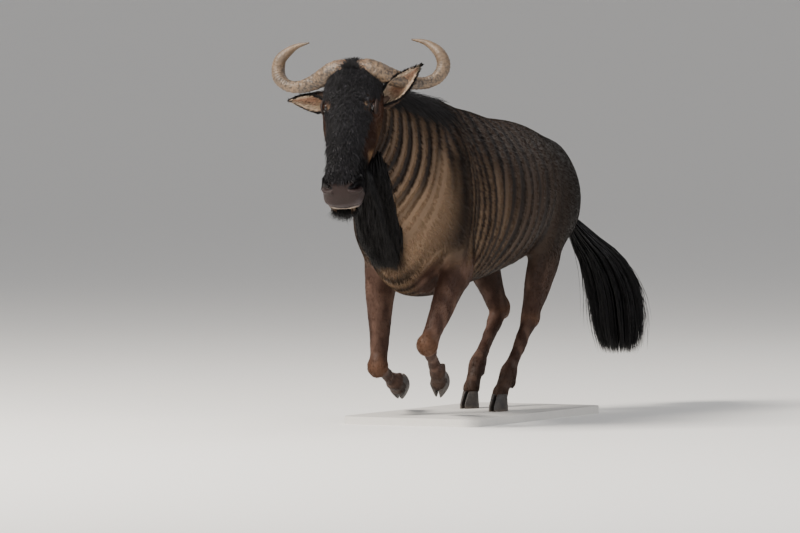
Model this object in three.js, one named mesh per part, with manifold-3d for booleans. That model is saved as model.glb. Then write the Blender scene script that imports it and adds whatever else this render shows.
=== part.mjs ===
// A blue wildebeest bull at life size, caught as it canters: both hind hooves are down, both forelegs
// are folded up off the ground, and the tail streams out behind. It stands on a plain display base.
// Millimetres. +X runs from tail to head along the trunk, +Y to the animal's left, +Z up.
// The body is first laid out with z = 0 at the soles of the hind hooves.
import * as THREE from "three";
import { mergeVertices } from "three/addons/utils/BufferGeometryUtils.js";
import Module from "manifold-3d";

const wasm = await Module();
wasm.setup();

// Driving sizes

const JOINT_GAP = 0.35; // clearance between two pieces that meet
const FOREARM = 402;
const FORE_CANNON = 250;
const SHANK = 366;
const HIND_CANNON = 300;
const PASTERN = 92;
const HOOF_HEIGHT = 62;
const HOOF_LENGTH = 104;
const EYE_RADIUS = 21;
const EYE_DEPTH = 9; // how far the eyeball stands out of the side of the skull
const EAR_LENGTH = 215;
const EAR_WALL = 7;
const BASE = { length: 1180, width: 560, thick: 30, corner: 60, middle: [-50, 0] };

const COLOURS = {
  coat: { color: 0x6b5d52, roughness: 0.75, metalness: 0 },
  face: { color: 0x1c1b1d, roughness: 0.7, metalness: 0 },
  leg: { color: 0x6a4a3a, roughness: 0.7, metalness: 0 },
  hair: { color: 0x0d0c0e, roughness: 0.6, metalness: 0 },
  ear: { color: 0x5b4636, roughness: 0.8, metalness: 0 },
  eye: { color: 0x120c08, roughness: 0.1, metalness: 0 },
  horn: { color: 0xa08b76, roughness: 0.55, metalness: 0 },
  hoof: { color: 0x2a2522, roughness: 0.5, metalness: 0 },
  stand: { color: 0xcfcac2, roughness: 0.6, metalness: 0 },
};

// Small helpers

const vec = (x, y, z) => new THREE.Vector3(x, y, z);
const mix = (a, b, t) => a + (b - a) * t;
const radians = THREE.MathUtils.degToRad;
const smooth = (t) => t * t * (3 - 2 * t);

// A repeatable random number between 0 and 1 for a whole number.
function chance(n) {
  const s = Math.sin(n * 127.1 + 311.7) * 43758.5453;
  return s - Math.floor(s);
}

// The value of a smooth curve through rows of numbers, at share t of its length in rows.
function along(rows, t) {
  const place = t * (rows.length - 1);
  const i = Math.min(rows.length - 2, Math.floor(place));
  const f = place - i;
  const row = (k) => rows[Math.max(0, Math.min(rows.length - 1, k))];
  return rows[0].map((_, c) => {
    const [p, q, r, s] = [row(i - 1)[c], row(i)[c], row(i + 1)[c], row(i + 2)[c]];
    return q + 0.5 * f * (r - p + f * (2 * p - 5 * q + 4 * r - s + f * (3 * (q - r) + s - p)));
  });
}

// Closes a stack of rings, each with the same number of points, with a point in the middle of each end.
function closeRings(rings) {
  const count = rings[0].length;
  const points = rings.flat();
  const faces = [];
  for (let r = 0; r + 1 < rings.length; r++) {
    for (let k = 0; k < count; k++) {
      const a = r * count + k;
      const b = r * count + ((k + 1) % count);
      faces.push(a, b, b + count, a, b + count, a + count);
    }
  }
  const middle = (ring) => ring.reduce((sum, p) => sum.add(p), vec(0, 0, 0)).divideScalar(ring.length);
  const last = (rings.length - 1) * count;
  points.push(middle(rings[0]), middle(rings[rings.length - 1]));
  for (let k = 0; k < count; k++) {
    const next = (k + 1) % count;
    faces.push(points.length - 2, next, k, points.length - 1, last + k, last + next);
  }
  return solidFrom(points, faces);
}

// Joins two like grids of points, the outside and the inside of a thin wall, along their four edges.
function closeWall(outside, inside) {
  const rows = outside.length;
  const columns = outside[0].length;
  const points = [...outside.flat(), ...inside.flat()];
  const faces = [];
  const at = (side, r, c) => side * rows * columns + r * columns + c;
  const quad = (a, b, c, d) => faces.push(a, b, c, a, c, d);
  for (let r = 0; r + 1 < rows; r++) {
    for (let c = 0; c + 1 < columns; c++) {
      quad(at(0, r, c), at(0, r, c + 1), at(0, r + 1, c + 1), at(0, r + 1, c));
      quad(at(1, r, c), at(1, r + 1, c), at(1, r + 1, c + 1), at(1, r, c + 1));
    }
    quad(at(0, r + 1, 0), at(1, r + 1, 0), at(1, r, 0), at(0, r, 0));
    quad(at(0, r, columns - 1), at(1, r, columns - 1), at(1, r + 1, columns - 1), at(0, r + 1, columns - 1));
  }
  for (let c = 0; c + 1 < columns; c++) {
    quad(at(0, 0, c), at(1, 0, c), at(1, 0, c + 1), at(0, 0, c + 1));
    quad(at(0, rows - 1, c + 1), at(1, rows - 1, c + 1), at(1, rows - 1, c), at(0, rows - 1, c));
  }
  return solidFrom(points, faces);
}

// A manifold solid from points and triangles, turned the right way out.
function solidFrom(points, faces) {
  const geometry = new THREE.BufferGeometry().setFromPoints(points).setIndex(faces);
  return solidOf(geometry);
}

function solidOf(geometry) {
  const bare = geometry.clone();
  bare.deleteAttribute("normal");
  bare.deleteAttribute("uv");
  const merged = mergeVertices(bare, 1e-3);
  const numbers = { numProp: 3, vertProperties: merged.attributes.position.array };
  const triVerts = new Uint32Array(merged.index.array);
  const made = new wasm.Manifold(new wasm.Mesh({ ...numbers, triVerts }));
  if (made.volume() > 0) {
    return made;
  }
  const turned = triVerts.map((_, i) => triVerts[i - (i % 3) + [0, 2, 1][i % 3]]);
  return new wasm.Manifold(new wasm.Mesh({ ...numbers, triVerts: turned }));
}

const union = (solids) => solids.reduce((whole, piece) => whole.add(piece));
const without = (solid, others) => others.reduce((left, other) => left.subtract(other), solid);

// The largest closed surface of a solid.
function largest(solid) {
  return solid.decompose().reduce((a, b) => (b.volume() > a.volume() ? b : a));
}

// A point of an egg-shaped outline: a runs once round it, from the left side over the top.
// pinch above or below 0 narrows or fills out the upper and lower halves.
function eggPoint(a, half, middle, top, bottom, pinchTop, pinchBottom) {
  const c = Math.cos(a);
  const s = Math.sin(a);
  const pinch = s > 0 ? pinchTop : pinchBottom;
  const side = half * c * (1 - pinch * s * s);
  const height = middle + (s > 0 ? top - middle : middle - bottom) * s;
  return [side, height];
}

// Each row of a trunk or head is [place along, top, bottom, half width, height of the widest, pinchTop,
// pinchBottom].
// toPoint turns (place along, sideways, height) into a point of the animal.
function eggLoft(rows, sides, steps, grow, toPoint) {
  const rings = [];
  for (let i = 0; i <= steps; i++) {
    const [place, top, bottom, half, middle, pinchTop, pinchBottom] = along(rows, i / steps);
    const end = i === 0 ? -grow : i === steps ? grow : 0;
    const forward = rows[rows.length - 1][0] > rows[0][0] ? 1 : -1;
    const ring = [];
    for (let k = 0; k < sides; k++) {
      const a = (2 * Math.PI * k) / sides;
      const egg = eggPoint(a, half + grow, middle, top + grow, bottom - grow, pinchTop, pinchBottom);
      ring.push(toPoint(place + end * forward, ...egg));
    }
    rings.push(ring);
  }
  return closeRings(rings);
}

// Each row of a limb is [x, y, z, half width across, half width fore and aft]. Its rings stand square to
// its path.
function limb(rows, sides, steps, grow = 0) {
  const places = [];
  for (let i = 0; i <= steps; i++) {
    places.push(along(rows, i / steps));
  }
  const centre = (i) => vec(...places[Math.max(0, Math.min(steps, i))].slice(0, 3));
  const rings = places.map((place, i) => {
    const way = centre(i + 1).sub(centre(i - 1)).normalize();
    const across = vec(0, 1, 0).addScaledVector(way, -way.y).normalize();
    const fore = vec(0, 0, 0).crossVectors(across, way);
    const end = i === 0 ? -grow : i === steps ? grow : 0;
    const middle = centre(i).addScaledVector(way, end);
    return ringAround(middle, across, fore, place[3] + grow, place[4] + grow, sides);
  });
  return closeRings(rings);
}

function ringAround(middle, first, second, firstRadius, secondRadius, sides) {
  const ring = [];
  for (let k = 0; k < sides; k++) {
    const a = (2 * Math.PI * k) / sides;
    const point = middle.clone().addScaledVector(first, firstRadius * Math.cos(a));
    ring.push(point.addScaledVector(second, secondRadius * Math.sin(a)));
  }
  return ring;
}

// An egg of three half sizes, with its rings stacked along z.
function ball(middle, sizes, sides = 12, steps = 6) {
  const rings = [];
  for (let i = 0; i <= steps; i++) {
    const a = mix(-0.93, 0.93, i / steps) * (Math.PI / 2);
    const ring = ringAround(
      vec(...middle).add(vec(0, 0, sizes[2] * Math.sin(a))),
      vec(1, 0, 0),
      vec(0, 1, 0),
      sizes[0] * Math.cos(a),
      sizes[1] * Math.cos(a),
      sides,
    );
    rings.push(ring);
  }
  return closeRings(rings);
}

// Trunk

const TRUNK_ROWS = [
  [690, 900, 640, 60, 770, 0, 0],
  [650, 1020, 520, 138, 760, 0.1, 0.1],
  [540, 1150, 456, 190, 760, 0.35, 0.15],
  [350, 1214, 446, 222, 750, 0.5, 0.1],
  [140, 1176, 476, 244, 755, 0.42, 0.05],
  [-60, 1138, 506, 254, 780, 0.22, 0],
  [-270, 1120, 550, 240, 820, 0.12, 0.05],
  [-450, 1092, 610, 206, 860, 0.1, 0.1],
  [-600, 1034, 670, 168, 860, 0.1, 0.1],
  [-690, 960, 720, 118, 840, 0.1, 0.1],
  [-728, 896, 780, 50, 838, 0, 0],
];

// Muscle masses of the left side, mirrored for the right: [x, y, z, across, fore and aft]
const SHOULDER_BLADE = [
  [330, 74, 1120, 24, 50],
  [385, 122, 990, 62, 118],
  [455, 156, 850, 74, 142],
  [478, 168, 735, 70, 128],
  [446, 170, 640, 60, 92],
  [428, 168, 560, 44, 56],
];
const HIND_QUARTER = [
  [-440, 60, 1006, 40, 80],
  [-480, 100, 930, 84, 166],
  [-476, 136, 820, 92, 206],
  [-410, 158, 700, 72, 156],
  [-384, 158, 600, 54, 98],
];

const mirrorRows = (rows, side) => rows.map(([x, y, z, a, b]) => [x, y * side, z, a, b]);

function torso(grow = 0) {
  const pieces = [eggLoft(TRUNK_ROWS, 22, 15, grow, vec)];
  for (const side of [1, -1]) {
    pieces.push(limb(mirrorRows(SHOULDER_BLADE, side), 11, 6, grow));
    pieces.push(limb(mirrorRows(HIND_QUARTER, side), 11, 6, grow));
  }
  return union(pieces);
}

// Head: its own frame starts at the crown, between the horns, and is pitched down and turned a little left.

const CROWN = vec(970, -4, 1290);
const HEAD_PITCH = radians(64);
const HEAD_TURN = radians(9);
const HEAD_ROLL = radians(2);
const DOWN_FACE = vec(
  Math.cos(HEAD_PITCH) * Math.cos(HEAD_TURN),
  Math.cos(HEAD_PITCH) * Math.sin(HEAD_TURN),
  -Math.sin(HEAD_PITCH),
);
const FACE_OUT = vec(0, 0, 0).crossVectors(DOWN_FACE, vec(-Math.sin(HEAD_TURN), Math.cos(HEAD_TURN), 0));
const FACE_WAY = DOWN_FACE.clone().applyAxisAngle(FACE_OUT, HEAD_ROLL);
const HEAD_LEFT = vec(0, 0, 0).crossVectors(FACE_OUT, FACE_WAY);

// A point of the head: down the face, to the animal's left, and out of the face.
function headPoint(down, left, out) {
  const aside = CROWN.clone().addScaledVector(FACE_WAY, down).addScaledVector(HEAD_LEFT, left);
  return aside.addScaledVector(FACE_OUT, out);
}

const HEAD_ROWS = [
  [-46, 2, -92, 56, -42, 0, 0],
  [-14, 40, -142, 90, -40, 0, 0],
  [40, 64, -170, 107, -30, 0.1, 0.1],
  [105, 68, -192, 114, -28, 0.12, 0.25],
  [165, 62, -204, 111, -32, 0.22, 0.3],
  [230, 56, -190, 101, -44, 0.15, 0.25],
  [300, 54, -154, 86, -40, 0.05, 0.15],
  [360, 52, -120, 74, -30, -0.05, 0.05],
  [425, 45, -98, 80, -24, -0.15, -0.05],
  [475, 25, -84, 80, -28, -0.2, -0.05],
  [508, -2, -72, 66, -36, 0, 0],
  [522, -22, -56, 34, -40, 0, 0],
];

const EYE_AT = { down: 138, left: 99, out: 6 };

function eyeball(side, grow = 0) {
  const middle = headPoint(EYE_AT.down, side * (EYE_AT.left + EYE_DEPTH - EYE_RADIUS), EYE_AT.out);
  const size = EYE_RADIUS + grow;
  return ball(middle.toArray(), [size, size, size], 10, 6);
}

// A lid or a lip: a thin roll along part of an ellipse or a curve of the head.
function roll(points, thick, sides = 6) {
  const rows = points.map((p, i) => {
    const end = i === 0 || i === points.length - 1;
    return [...p.toArray(), end ? thick * 0.35 : thick, end ? thick * 0.35 : thick];
  });
  return limb(rows, sides, points.length - 1);
}

function lid(side, upper) {
  const points = [];
  for (let i = 0; i <= 6; i++) {
    const a = mix(0.04, 0.96, i / 6) * Math.PI * (upper ? 1 : -1);
    const down = EYE_AT.down - (EYE_RADIUS + 7) * Math.cos(a);
    const out = EYE_AT.out + (EYE_RADIUS - 1) * Math.sin(a);
    points.push(headPoint(down, side * (EYE_AT.left - 2 + (upper ? 4 : 0)), out));
  }
  return roll(points, upper ? 7 : 5.5, 5);
}

function head(grow = 0) {
  let made = eggLoft(HEAD_ROWS, 18, 16, grow, headPoint);
  if (grow > 0) {
    return made;
  }
  for (const side of [1, -1]) {
    made = union([made, lid(side, true), lid(side, false), browRidge(side), nostrilRim(side)]);
    made = without(made, [eyeball(side, JOINT_GAP), nostril(side)]);
  }
  made = union([made, upperLip(), lowerLip()]);
  return largest(without(made, [mouthLine()]));
}

function browRidge(side) {
  const rows = [
    [74, 82, 24],
    [102, 96, 30],
    [132, 101, 32],
    [162, 95, 26],
    [190, 80, 18],
  ];
  return roll(rows.map(([down, left, out]) => headPoint(down, side * left, out)), 12, 7);
}

const NOSTRIL_AT = { down: 452, left: 54, out: 22 };

function nostril(side) {
  const points = [
    headPoint(NOSTRIL_AT.down - 18, side * (NOSTRIL_AT.left + 26), NOSTRIL_AT.out - 22),
    headPoint(NOSTRIL_AT.down - 2, side * (NOSTRIL_AT.left + 12), NOSTRIL_AT.out - 4),
    headPoint(NOSTRIL_AT.down + 18, side * (NOSTRIL_AT.left + 2), NOSTRIL_AT.out + 12),
  ];
  return limb(points.map((p, i) => [...p.toArray(), [6, 9, 9][i], [8, 11, 8][i]]), 8, 4);
}

function nostrilRim(side) {
  const points = [];
  for (let i = 0; i <= 6; i++) {
    const a = mix(-0.2, 1.2, i / 6) * Math.PI;
    const left = NOSTRIL_AT.left + 14 - 4 * Math.cos(a) + 8 * Math.sin(a);
    const out = NOSTRIL_AT.out - 10 + 16 * Math.sin(a);
    points.push(headPoint(NOSTRIL_AT.down + 6 - 26 * Math.cos(a), side * left, out));
  }
  return roll(points, 8, 5);
}

// Half width of the head at a place down the face and a height out of it.
function headHalf(down, out) {
  const last = HEAD_ROWS.length - 1;
  const i = Math.min(last - 1, Math.max(0, HEAD_ROWS.findIndex((row) => row[0] > down) - 1));
  const t = THREE.MathUtils.clamp((down - HEAD_ROWS[i][0]) / (HEAD_ROWS[i + 1][0] - HEAD_ROWS[i][0]), 0, 1);
  const [, top, bottom, half, middle] = HEAD_ROWS[i].map((value, c) => mix(value, HEAD_ROWS[i + 1][c], t));
  const height = out > middle ? (out - middle) / (top - middle) : (middle - out) / (middle - bottom);
  return half * Math.sqrt(Math.max(0, 1 - height * height));
}

// The mouth runs round the front of the muzzle and back along both cheeks.
const MOUTH = { front: 521, corner: 404, frontHalf: 26, out: -46, drop: 14, frontShare: 0.2, steps: 5 };

function mouthCurve(outset, lift) {
  const points = [];
  for (let i = -MOUTH.steps; i <= MOUTH.steps; i++) {
    const a = Math.abs(i) / MOUTH.steps;
    const back = Math.max(0, (a - MOUTH.frontShare) / (1 - MOUTH.frontShare));
    const down = mix(MOUTH.front, MOUTH.corner, back ** 1.5);
    const out = MOUTH.out - MOUTH.drop * back + lift;
    const share = Math.min(1, a / MOUTH.frontShare);
    const left = back > 0 ? headHalf(down, out) : MOUTH.frontHalf * share;
    points.push(headPoint(down + outset * (1 - share), Math.sign(i) * (left + outset * share), out));
  }
  return points;
}

const upperLip = () => roll(mouthCurve(-5, 10), 11, 6);
const lowerLip = () => roll(mouthCurve(-6, -11), 10, 6);
const mouthLine = () => roll(mouthCurve(5, 0), 5, 5);

// Neck, from the front of the trunk to the back of the head: [x, y, z, half width, half depth], with
// sections square to its axis

const NECK_ROWS = [
  [450, 0, 880, 140, 280],
  [560, 0, 925, 164, 298],
  [660, 0, 975, 143, 250],
  [760, 0, 1038, 117, 203],
  [850, -2, 1095, 102, 172],
  [935, -4, 1142, 88, 138],
];

function neck(grow = 0) {
  return limb(NECK_ROWS, 18, 9, grow);
}

// Ears: a cup of thin wall that narrows to its stalk and to its tip

const EARS = {
  left: { root: [108, 92, -46], lean: [-0.6, 0.757, 0.255], open: [0.429, 0.1, 0.9] },
  right: { root: [96, -92, -64], lean: [-0.3, -0.87, -0.36], open: [0.8, -0.3, 0.5] },
};

function headWay([down, left, out]) {
  return headPoint(down, left, out).sub(CROWN).normalize();
}

function ear(name) {
  const { root, lean, open } = EARS[name];
  const start = headPoint(...root);
  const way = headWay(lean);
  const facing = headWay(open).addScaledVector(way, -headWay(open).dot(way)).normalize();
  const across = vec(0, 0, 0).crossVectors(way, facing);
  const [rows, columns] = [9, 7];
  const wall = (inner) =>
    Array.from({ length: rows }, (_, r) => {
      const t = r / (rows - 1);
      const belly = 0.09 + 0.1 * Math.sin(Math.PI * Math.min(1, t * 1.02) ** 0.8);
      const half = EAR_LENGTH * belly * (1 - t ** 5 * 0.82);
      const curl = mix(2.5, 1.15, smooth(Math.min(1, t * 1.4)));
      const deep = Math.max(2, half - inner * mix(EAR_WALL, 2.2, t));
      return Array.from({ length: columns }, (_, c) => {
        const a = mix(-1, 1, c / (columns - 1)) * curl;
        const radius = deep / Math.sin(Math.min(curl, Math.PI / 2));
        return start
          .clone()
          .addScaledVector(way, t * EAR_LENGTH - inner * (1 - t) * -6)
          .addScaledVector(across, radius * Math.sin(a))
          .addScaledVector(facing, -radius * (Math.cos(a) - Math.cos(curl)));
      });
    });
  const stalk = limb(
    [
      [...start.clone().addScaledVector(way, -34).toArray(), 20, 20],
      [...start.clone().addScaledVector(way, 6).addScaledVector(facing, -14).toArray(), 21, 21],
      [...start.clone().addScaledVector(way, 40).addScaledVector(facing, -26).toArray(), 13, 10],
    ],
    10,
    4,
  );
  return union([closeWall(wall(0), wall(1)), stalk]);
}

// Horns: out from the crown, a little down, then up and in to the tip

const HORN_ROWS = [
  [-8, 8, 12, 34],
  [-16, 48, 8, 38],
  [-6, 92, 2, 36],
  [6, 144, -30, 31],
  [16, 203, -54, 25],
  [12, 252, -68, 22],
  [-4, 288, -74, 23],
  [-32, 313, -73, 25],
  [-66, 319, -67, 25],
  [-95, 308, -50, 22],
  [-122, 281, -45, 17],
  [-141, 246, -38, 10],
  [-150, 198, -30, 3],
];

function horn(side, grow = 0) {
  const rows = HORN_ROWS.map(([down, left, out, radius]) => {
    return [...headPoint(down, side * left, out).toArray(), radius + grow, radius + grow];
  });
  return hornLoft(rows);
}

function hornLoft(rows) {
  const steps = 16;
  const places = Array.from({ length: steps + 1 }, (_, i) => along(rows, i / steps));
  const centre = (i) => vec(...places[Math.max(0, Math.min(steps, i))].slice(0, 3));
  const rings = places.map((place, i) => {
    const way = centre(i + 1).sub(centre(i - 1)).normalize();
    const first = FACE_OUT.clone().addScaledVector(way, -FACE_OUT.dot(way)).normalize();
    const second = vec(0, 0, 0).crossVectors(way, first);
    return ringAround(centre(i), first, second, place[3], place[4], 9);
  });
  return closeRings(rings);
}

// Legs. A segment starts at a joint and leans forward and outward by angles from straight down.

function reach(from, length, forward, outward) {
  const down = vec(Math.tan(radians(forward)), Math.tan(radians(outward)), -1);
  return from.clone().addScaledVector(down.normalize(), length * (Math.abs(forward) > 90 ? -1 : 1));
}

const LEGS = {
  fore_left: { top: [438, 184, 600], upper: [37.3, -4.6], lower: [-63, -31], foot: [-60, -34], fore: true },
  fore_right: { top: [412, -166, 587], upper: [5, 1], lower: [-73, -35], foot: [-74, -46], fore: true },
  hind_left: { top: [-300, 172, 700], upper: [-7.5, -11.5], lower: [45, 1], foot: [44, 0], fore: false },
  hind_right: { top: [-300, -170, 680], upper: [-30, 14.4], lower: [45.5, 0], foot: [28, 0], fore: false },
};

function legJoints(name) {
  const { top, upper, lower, foot, fore } = LEGS[name];
  const start = vec(...top);
  const knee = reach(start, fore ? FOREARM : SHANK, ...upper);
  const fetlock = reach(knee, fore ? FORE_CANNON : HIND_CANNON, ...lower);
  const coronet = reach(fetlock, PASTERN, ...foot);
  return { start, knee, fetlock, coronet };
}

// Rows of a segment: shares of the way from one joint to the next, with half widths across and fore and aft,
// and how far the middle stands forward of the straight line.
function segmentRows(from, to, shares) {
  return shares.map(([t, across, fore, ahead = 0]) => {
    const p = from.clone().lerp(to, t);
    return [p.x + ahead, p.y, p.z, across, fore];
  });
}

const FOREARM_SHARES = [
  [-0.16, 42, 54, 0],
  [0.05, 54, 70, 4],
  [0.3, 50, 62, 4],
  [0.62, 41, 46, 2],
  [0.86, 34, 36, 2],
  [1.03, 37, 37, 4],
];
const SHANK_SHARES = [
  [-0.1, 46, 100, -90],
  [0.06, 54, 118, -84],
  [0.3, 54, 98, -66],
  [0.6, 42, 78, -34],
  [0.84, 33, 56, -8],
  [1.03, 31, 44, 4],
];
const CANNON_SHARES = [
  [-0.05, 34, 32, 0],
  [0.12, 29, 28, 0],
  [0.4, 22, 25, 0],
  [0.75, 22, 25, 0],
  [0.94, 31, 32, -2],
  [1.06, 30, 31, -2],
];
const PASTERN_SHARES = [
  [-0.12, 30, 30, 0],
  [0.2, 28, 27, 0],
  [0.66, 27, 26, 0],
  [0.94, 32, 31, 0],
];

function upperLeg(name, grow = 0) {
  const { start, knee } = legJoints(name);
  const { fore } = LEGS[name];
  const rows = segmentRows(start, knee, fore ? FOREARM_SHARES : SHANK_SHARES);
  const pieces = [limb(rows, 12, 8, grow)];
  if (fore) {
    pieces.push(ball([knee.x + 5, knee.y, knee.z], [42 + grow, 40 + grow, 46 + grow]));
  } else {
    pieces.push(hockPoint(start, knee, grow));
  }
  return union(pieces);
}

// The heel bone stands up and back from the hock, with the tendon running up from it.
function hockPoint(start, knee, grow) {
  const up = start.clone().sub(knee).normalize();
  const rows = [
    [knee.x - 10, knee.y, knee.z - 16, 26, 32],
    [knee.x - 34, knee.y, knee.z + 12, 25, 28],
    [knee.x - 44 + up.x * 50, knee.y + up.y * 40, knee.z + 50, 17, 19],
    [knee.x - 40 + up.x * 120, knee.y + up.y * 110, knee.z + 116, 12, 12],
  ];
  return limb(rows, 10, 6, grow);
}

function lowerLeg(name) {
  const { knee, fetlock, coronet } = legJoints(name);
  const claws = [1, -1].map((side) => dewclaw(fetlock, coronet, knee, side));
  return union([...shinAndPastern(name, 0), ...claws]);
}

// The cannon bone, and the pastern, which ends square to the hoof and sunk in it.
function shinAndPastern(name, grow) {
  const { knee, fetlock, coronet } = legJoints(name);
  const { up, toe } = hoofFrame(name);
  const deeper = LEGS[name].fore ? 1 : 1.1;
  const shares = CANNON_SHARES.map(([t, across, fore, ahead]) => [t, across, fore * deeper, ahead]);
  const pastern = segmentRows(fetlock, coronet, PASTERN_SHARES);
  const sunk = coronet.clone().addScaledVector(up, -26).addScaledVector(toe, 5);
  pastern.push([...sunk.toArray(), 33, 33]);
  return [limb(segmentRows(knee, fetlock, shares), 10, 7, grow), limb(pastern, 9, 5, grow)];
}

function dewclaw(fetlock, coronet, knee, side) {
  const way = coronet.clone().sub(fetlock).normalize();
  const bone = fetlock.clone().sub(knee).normalize();
  const across = vec(0, 1, 0).addScaledVector(way, -way.y).normalize();
  const back = vec(0, 0, 0).crossVectors(way, across).multiplyScalar(-1);
  const middle = fetlock.clone().addScaledVector(way, 4).addScaledVector(across, 15 * side);
  const rows = [
    [...middle.clone().addScaledVector(back, 12).toArray(), 12, 12],
    [...middle.clone().addScaledVector(back, 30).addScaledVector(bone, 6).toArray(), 11, 11],
    [...middle.clone().addScaledVector(back, 40).addScaledVector(bone, 22).toArray(), 5, 5],
  ];
  return limb(rows, 6, 3);
}

const CLAW_SIDES = 10;

// One claw of a cloven hoof. Its sole lies square to the foot's own up, and its toe points along toe.
function claw(middle, toe, up, side, size) {
  const outward = vec(0, 0, 0).crossVectors(up, toe).multiplyScalar(side);
  const rings = [];
  const levels = [
    [0, 1, 0],
    [0.3, 0.98, 0],
    [0.72, 0.78, -0.1],
    [1, 0.6, -0.16],
  ];
  for (const [height, spread, set] of levels) {
    const ring = [];
    for (let k = 0; k < CLAW_SIDES; k++) {
      const a = (2 * Math.PI * k) / CLAW_SIDES;
      const ahead = Math.cos(a);
      const aside = Math.sin(a);
      const length = (ahead > 0 ? 0.56 : 0.44) * HOOF_LENGTH * size;
      const narrow = ahead > 0 ? 1 - 0.55 * ahead * ahead : 1 - 0.12 * ahead * ahead;
      const width = (aside > 0 ? 27 : 6) * size * narrow;
      const point = middle.clone().addScaledVector(up, height * HOOF_HEIGHT * size);
      point.addScaledVector(toe, (ahead * spread + set) * length);
      point.addScaledVector(outward, 7.5 + aside * width * mix(1, 0.86, height) * (aside > 0 ? 1 : 0.9));
      ring.push(point);
    }
    rings.push(ring);
  }
  return closeRings(rings);
}

// The sole's middle, the toe's way and the up of a foot. A grounded hoof lies flat on z = 0.
function hoofFrame(name) {
  const { fetlock, coronet } = legJoints(name);
  const way = coronet.clone().sub(fetlock).normalize();
  if (!LEGS[name].fore) {
    const up = vec(0, 0, 1);
    const toe = vec(1, 0, 0);
    return { up, toe, sole: vec(coronet.x + 16, coronet.y, 0) };
  }
  const tilt = radians(42);
  const across = vec(0, 1, 0).addScaledVector(way, -way.y).normalize();
  const up = way.clone().negate().applyAxisAngle(across, tilt);
  const toe = vec(0, 0, 0).crossVectors(across, up);
  const sole = coronet.clone().addScaledVector(up, -HOOF_HEIGHT + 8).addScaledVector(toe, 12);
  return { up, toe, sole };
}

function hoof(name, side) {
  const { up, toe, sole } = hoofFrame(name);
  return without(claw(sole, toe, up, side, 1), [lowerLegClear(name)]);
}

function lowerLegClear(name) {
  return union(shinAndPastern(name, JOINT_GAP));
}

// Tail: the dock goes back and down from the rump, then bends over into the hanging tuft

const DOCK_ROWS = [
  [-670, 0, 915, 36, 38],
  [-755, 2, 850, 30, 30],
  [-845, 8, 752, 28, 28],
  [-935, 24, 668, 24, 24],
  [-1035, 64, 594, 16, 16],
];
const TUFT_ROWS = [
  [-885, 12, 728, 32, 38],
  [-980, 40, 642, 44, 52],
  [-1060, 84, 545, 58, 66],
  [-1105, 114, 420, 72, 80],
  [-1116, 126, 290, 74, 82],
  [-1122, 134, 190, 62, 70],
];

// Locks: flat, tapered and bent, each a closed body whose root is sunk in the core of its node

const LOCK_SHARES = [0.72, 1, 0.62]; // width at each ring, as a share of the widest
const LOCK_THICK = 0.3; // thickness as a share of the width

// A lock along four points, of which the last is its tip. flat(i) is the way that its flat side looks.
function lock(points, width, flat) {
  const rings = LOCK_SHARES.map((share, i) => {
    const way = points[i + 1].clone().sub(points[Math.max(0, i - 1)]).normalize();
    const out = flat.clone().addScaledVector(way, -flat.dot(way)).normalize();
    const across = vec(0, 0, 0).crossVectors(way, out);
    return ringAround(points[i], across, out, (width / 2) * share, (width / 2) * share * LOCK_THICK, 4);
  });
  const solid = rings.flat();
  const faces = [0, 2, 1, 0, 3, 2];
  for (let r = 0; r < rings.length; r++) {
    for (let k = 0; k < 4; k++) {
      const next = (k + 1) % 4;
      const [a, b] = [4 * r + k, 4 * r + next];
      if (r + 1 < rings.length) {
        faces.push(a, b, b + 4, a, b + 4, a + 4);
      } else {
        faces.push(a, b, 4 * rings.length);
      }
    }
  }
  return solidFrom([...solid, points[3]], faces);
}

// The points of a lock that leaves its root along way and is bent by sag at its tip.
function lockPoints(root, way, sag) {
  return [0, 0.36, 0.7, 1].map((t) => root.clone().addScaledVector(way, t).addScaledVector(sag, t * t));
}

// Mane: [x, y, z of the roots' line on the crest, half width of the core, height of the hair]
const MANE_LINE = [
  [905, 22, 1240, 16, 56],
  [800, 14, 1236, 24, 78],
  [660, 8, 1210, 30, 92],
  [520, 4, 1196, 30, 86],
  [360, 2, 1190, 24, 64],
  [200, 0, 1166, 14, 38],
];
const MANE_LOCKS = 8;

function mane() {
  const core = MANE_LINE.map(([x, y, z, half, height]) => [x, y, z + height * 0.12, half, height * 0.32]);
  const pieces = [limb(core, 8, 10)];
  for (let i = 0; i < MANE_LOCKS; i++) {
    for (const [k, tier] of [-1, 0, 1].entries()) {
      const t = (i + 0.25 + 0.25 * k) / MANE_LOCKS;
      const [x, y, z, half, height] = along(MANE_LINE, Math.min(1, t));
      const draw = chance(i * 3 + k);
      const size = height * mix(0.92, 1.12, draw);
      const root = vec(x + 10, y + tier * half * 0.55, z + height * (tier === 0 ? 0.2 : 0.14));
      const aside = tier === 0 ? mix(-0.4, 0.15, chance(i + 40)) : tier * 0.9;
      const way = vec(-0.75, aside, tier === 0 ? 0.85 : 0.5).multiplyScalar(size);
      const fall = tier === 0 ? -0.32 : tier < 0 ? -0.95 : -0.7;
      const sag = vec(-0.5, tier * 0.1, fall).multiplyScalar(size * 0.85);
      const flat = vec(0, tier === 0 ? -1 : tier * 0.6, tier === 0 ? 0.25 : 0.8);
      pieces.push(lock(lockPoints(root, way, sag), mix(56, 70, chance(i + 7 * k)), flat));
    }
  }
  return union(pieces);
}

// Beard: [x, y, z of the roots' line down the throat, half width of the core, length of the hair]
const BEARD_LINE = [
  [966, 34, 926, 14, 80],
  [928, 29, 906, 24, 140],
  [870, 22, 842, 28, 160],
  [790, 14, 756, 28, 152],
  [720, 8, 680, 24, 124],
  [668, 4, 640, 12, 88],
];
const BEARD_LOCKS = 6;

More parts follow.
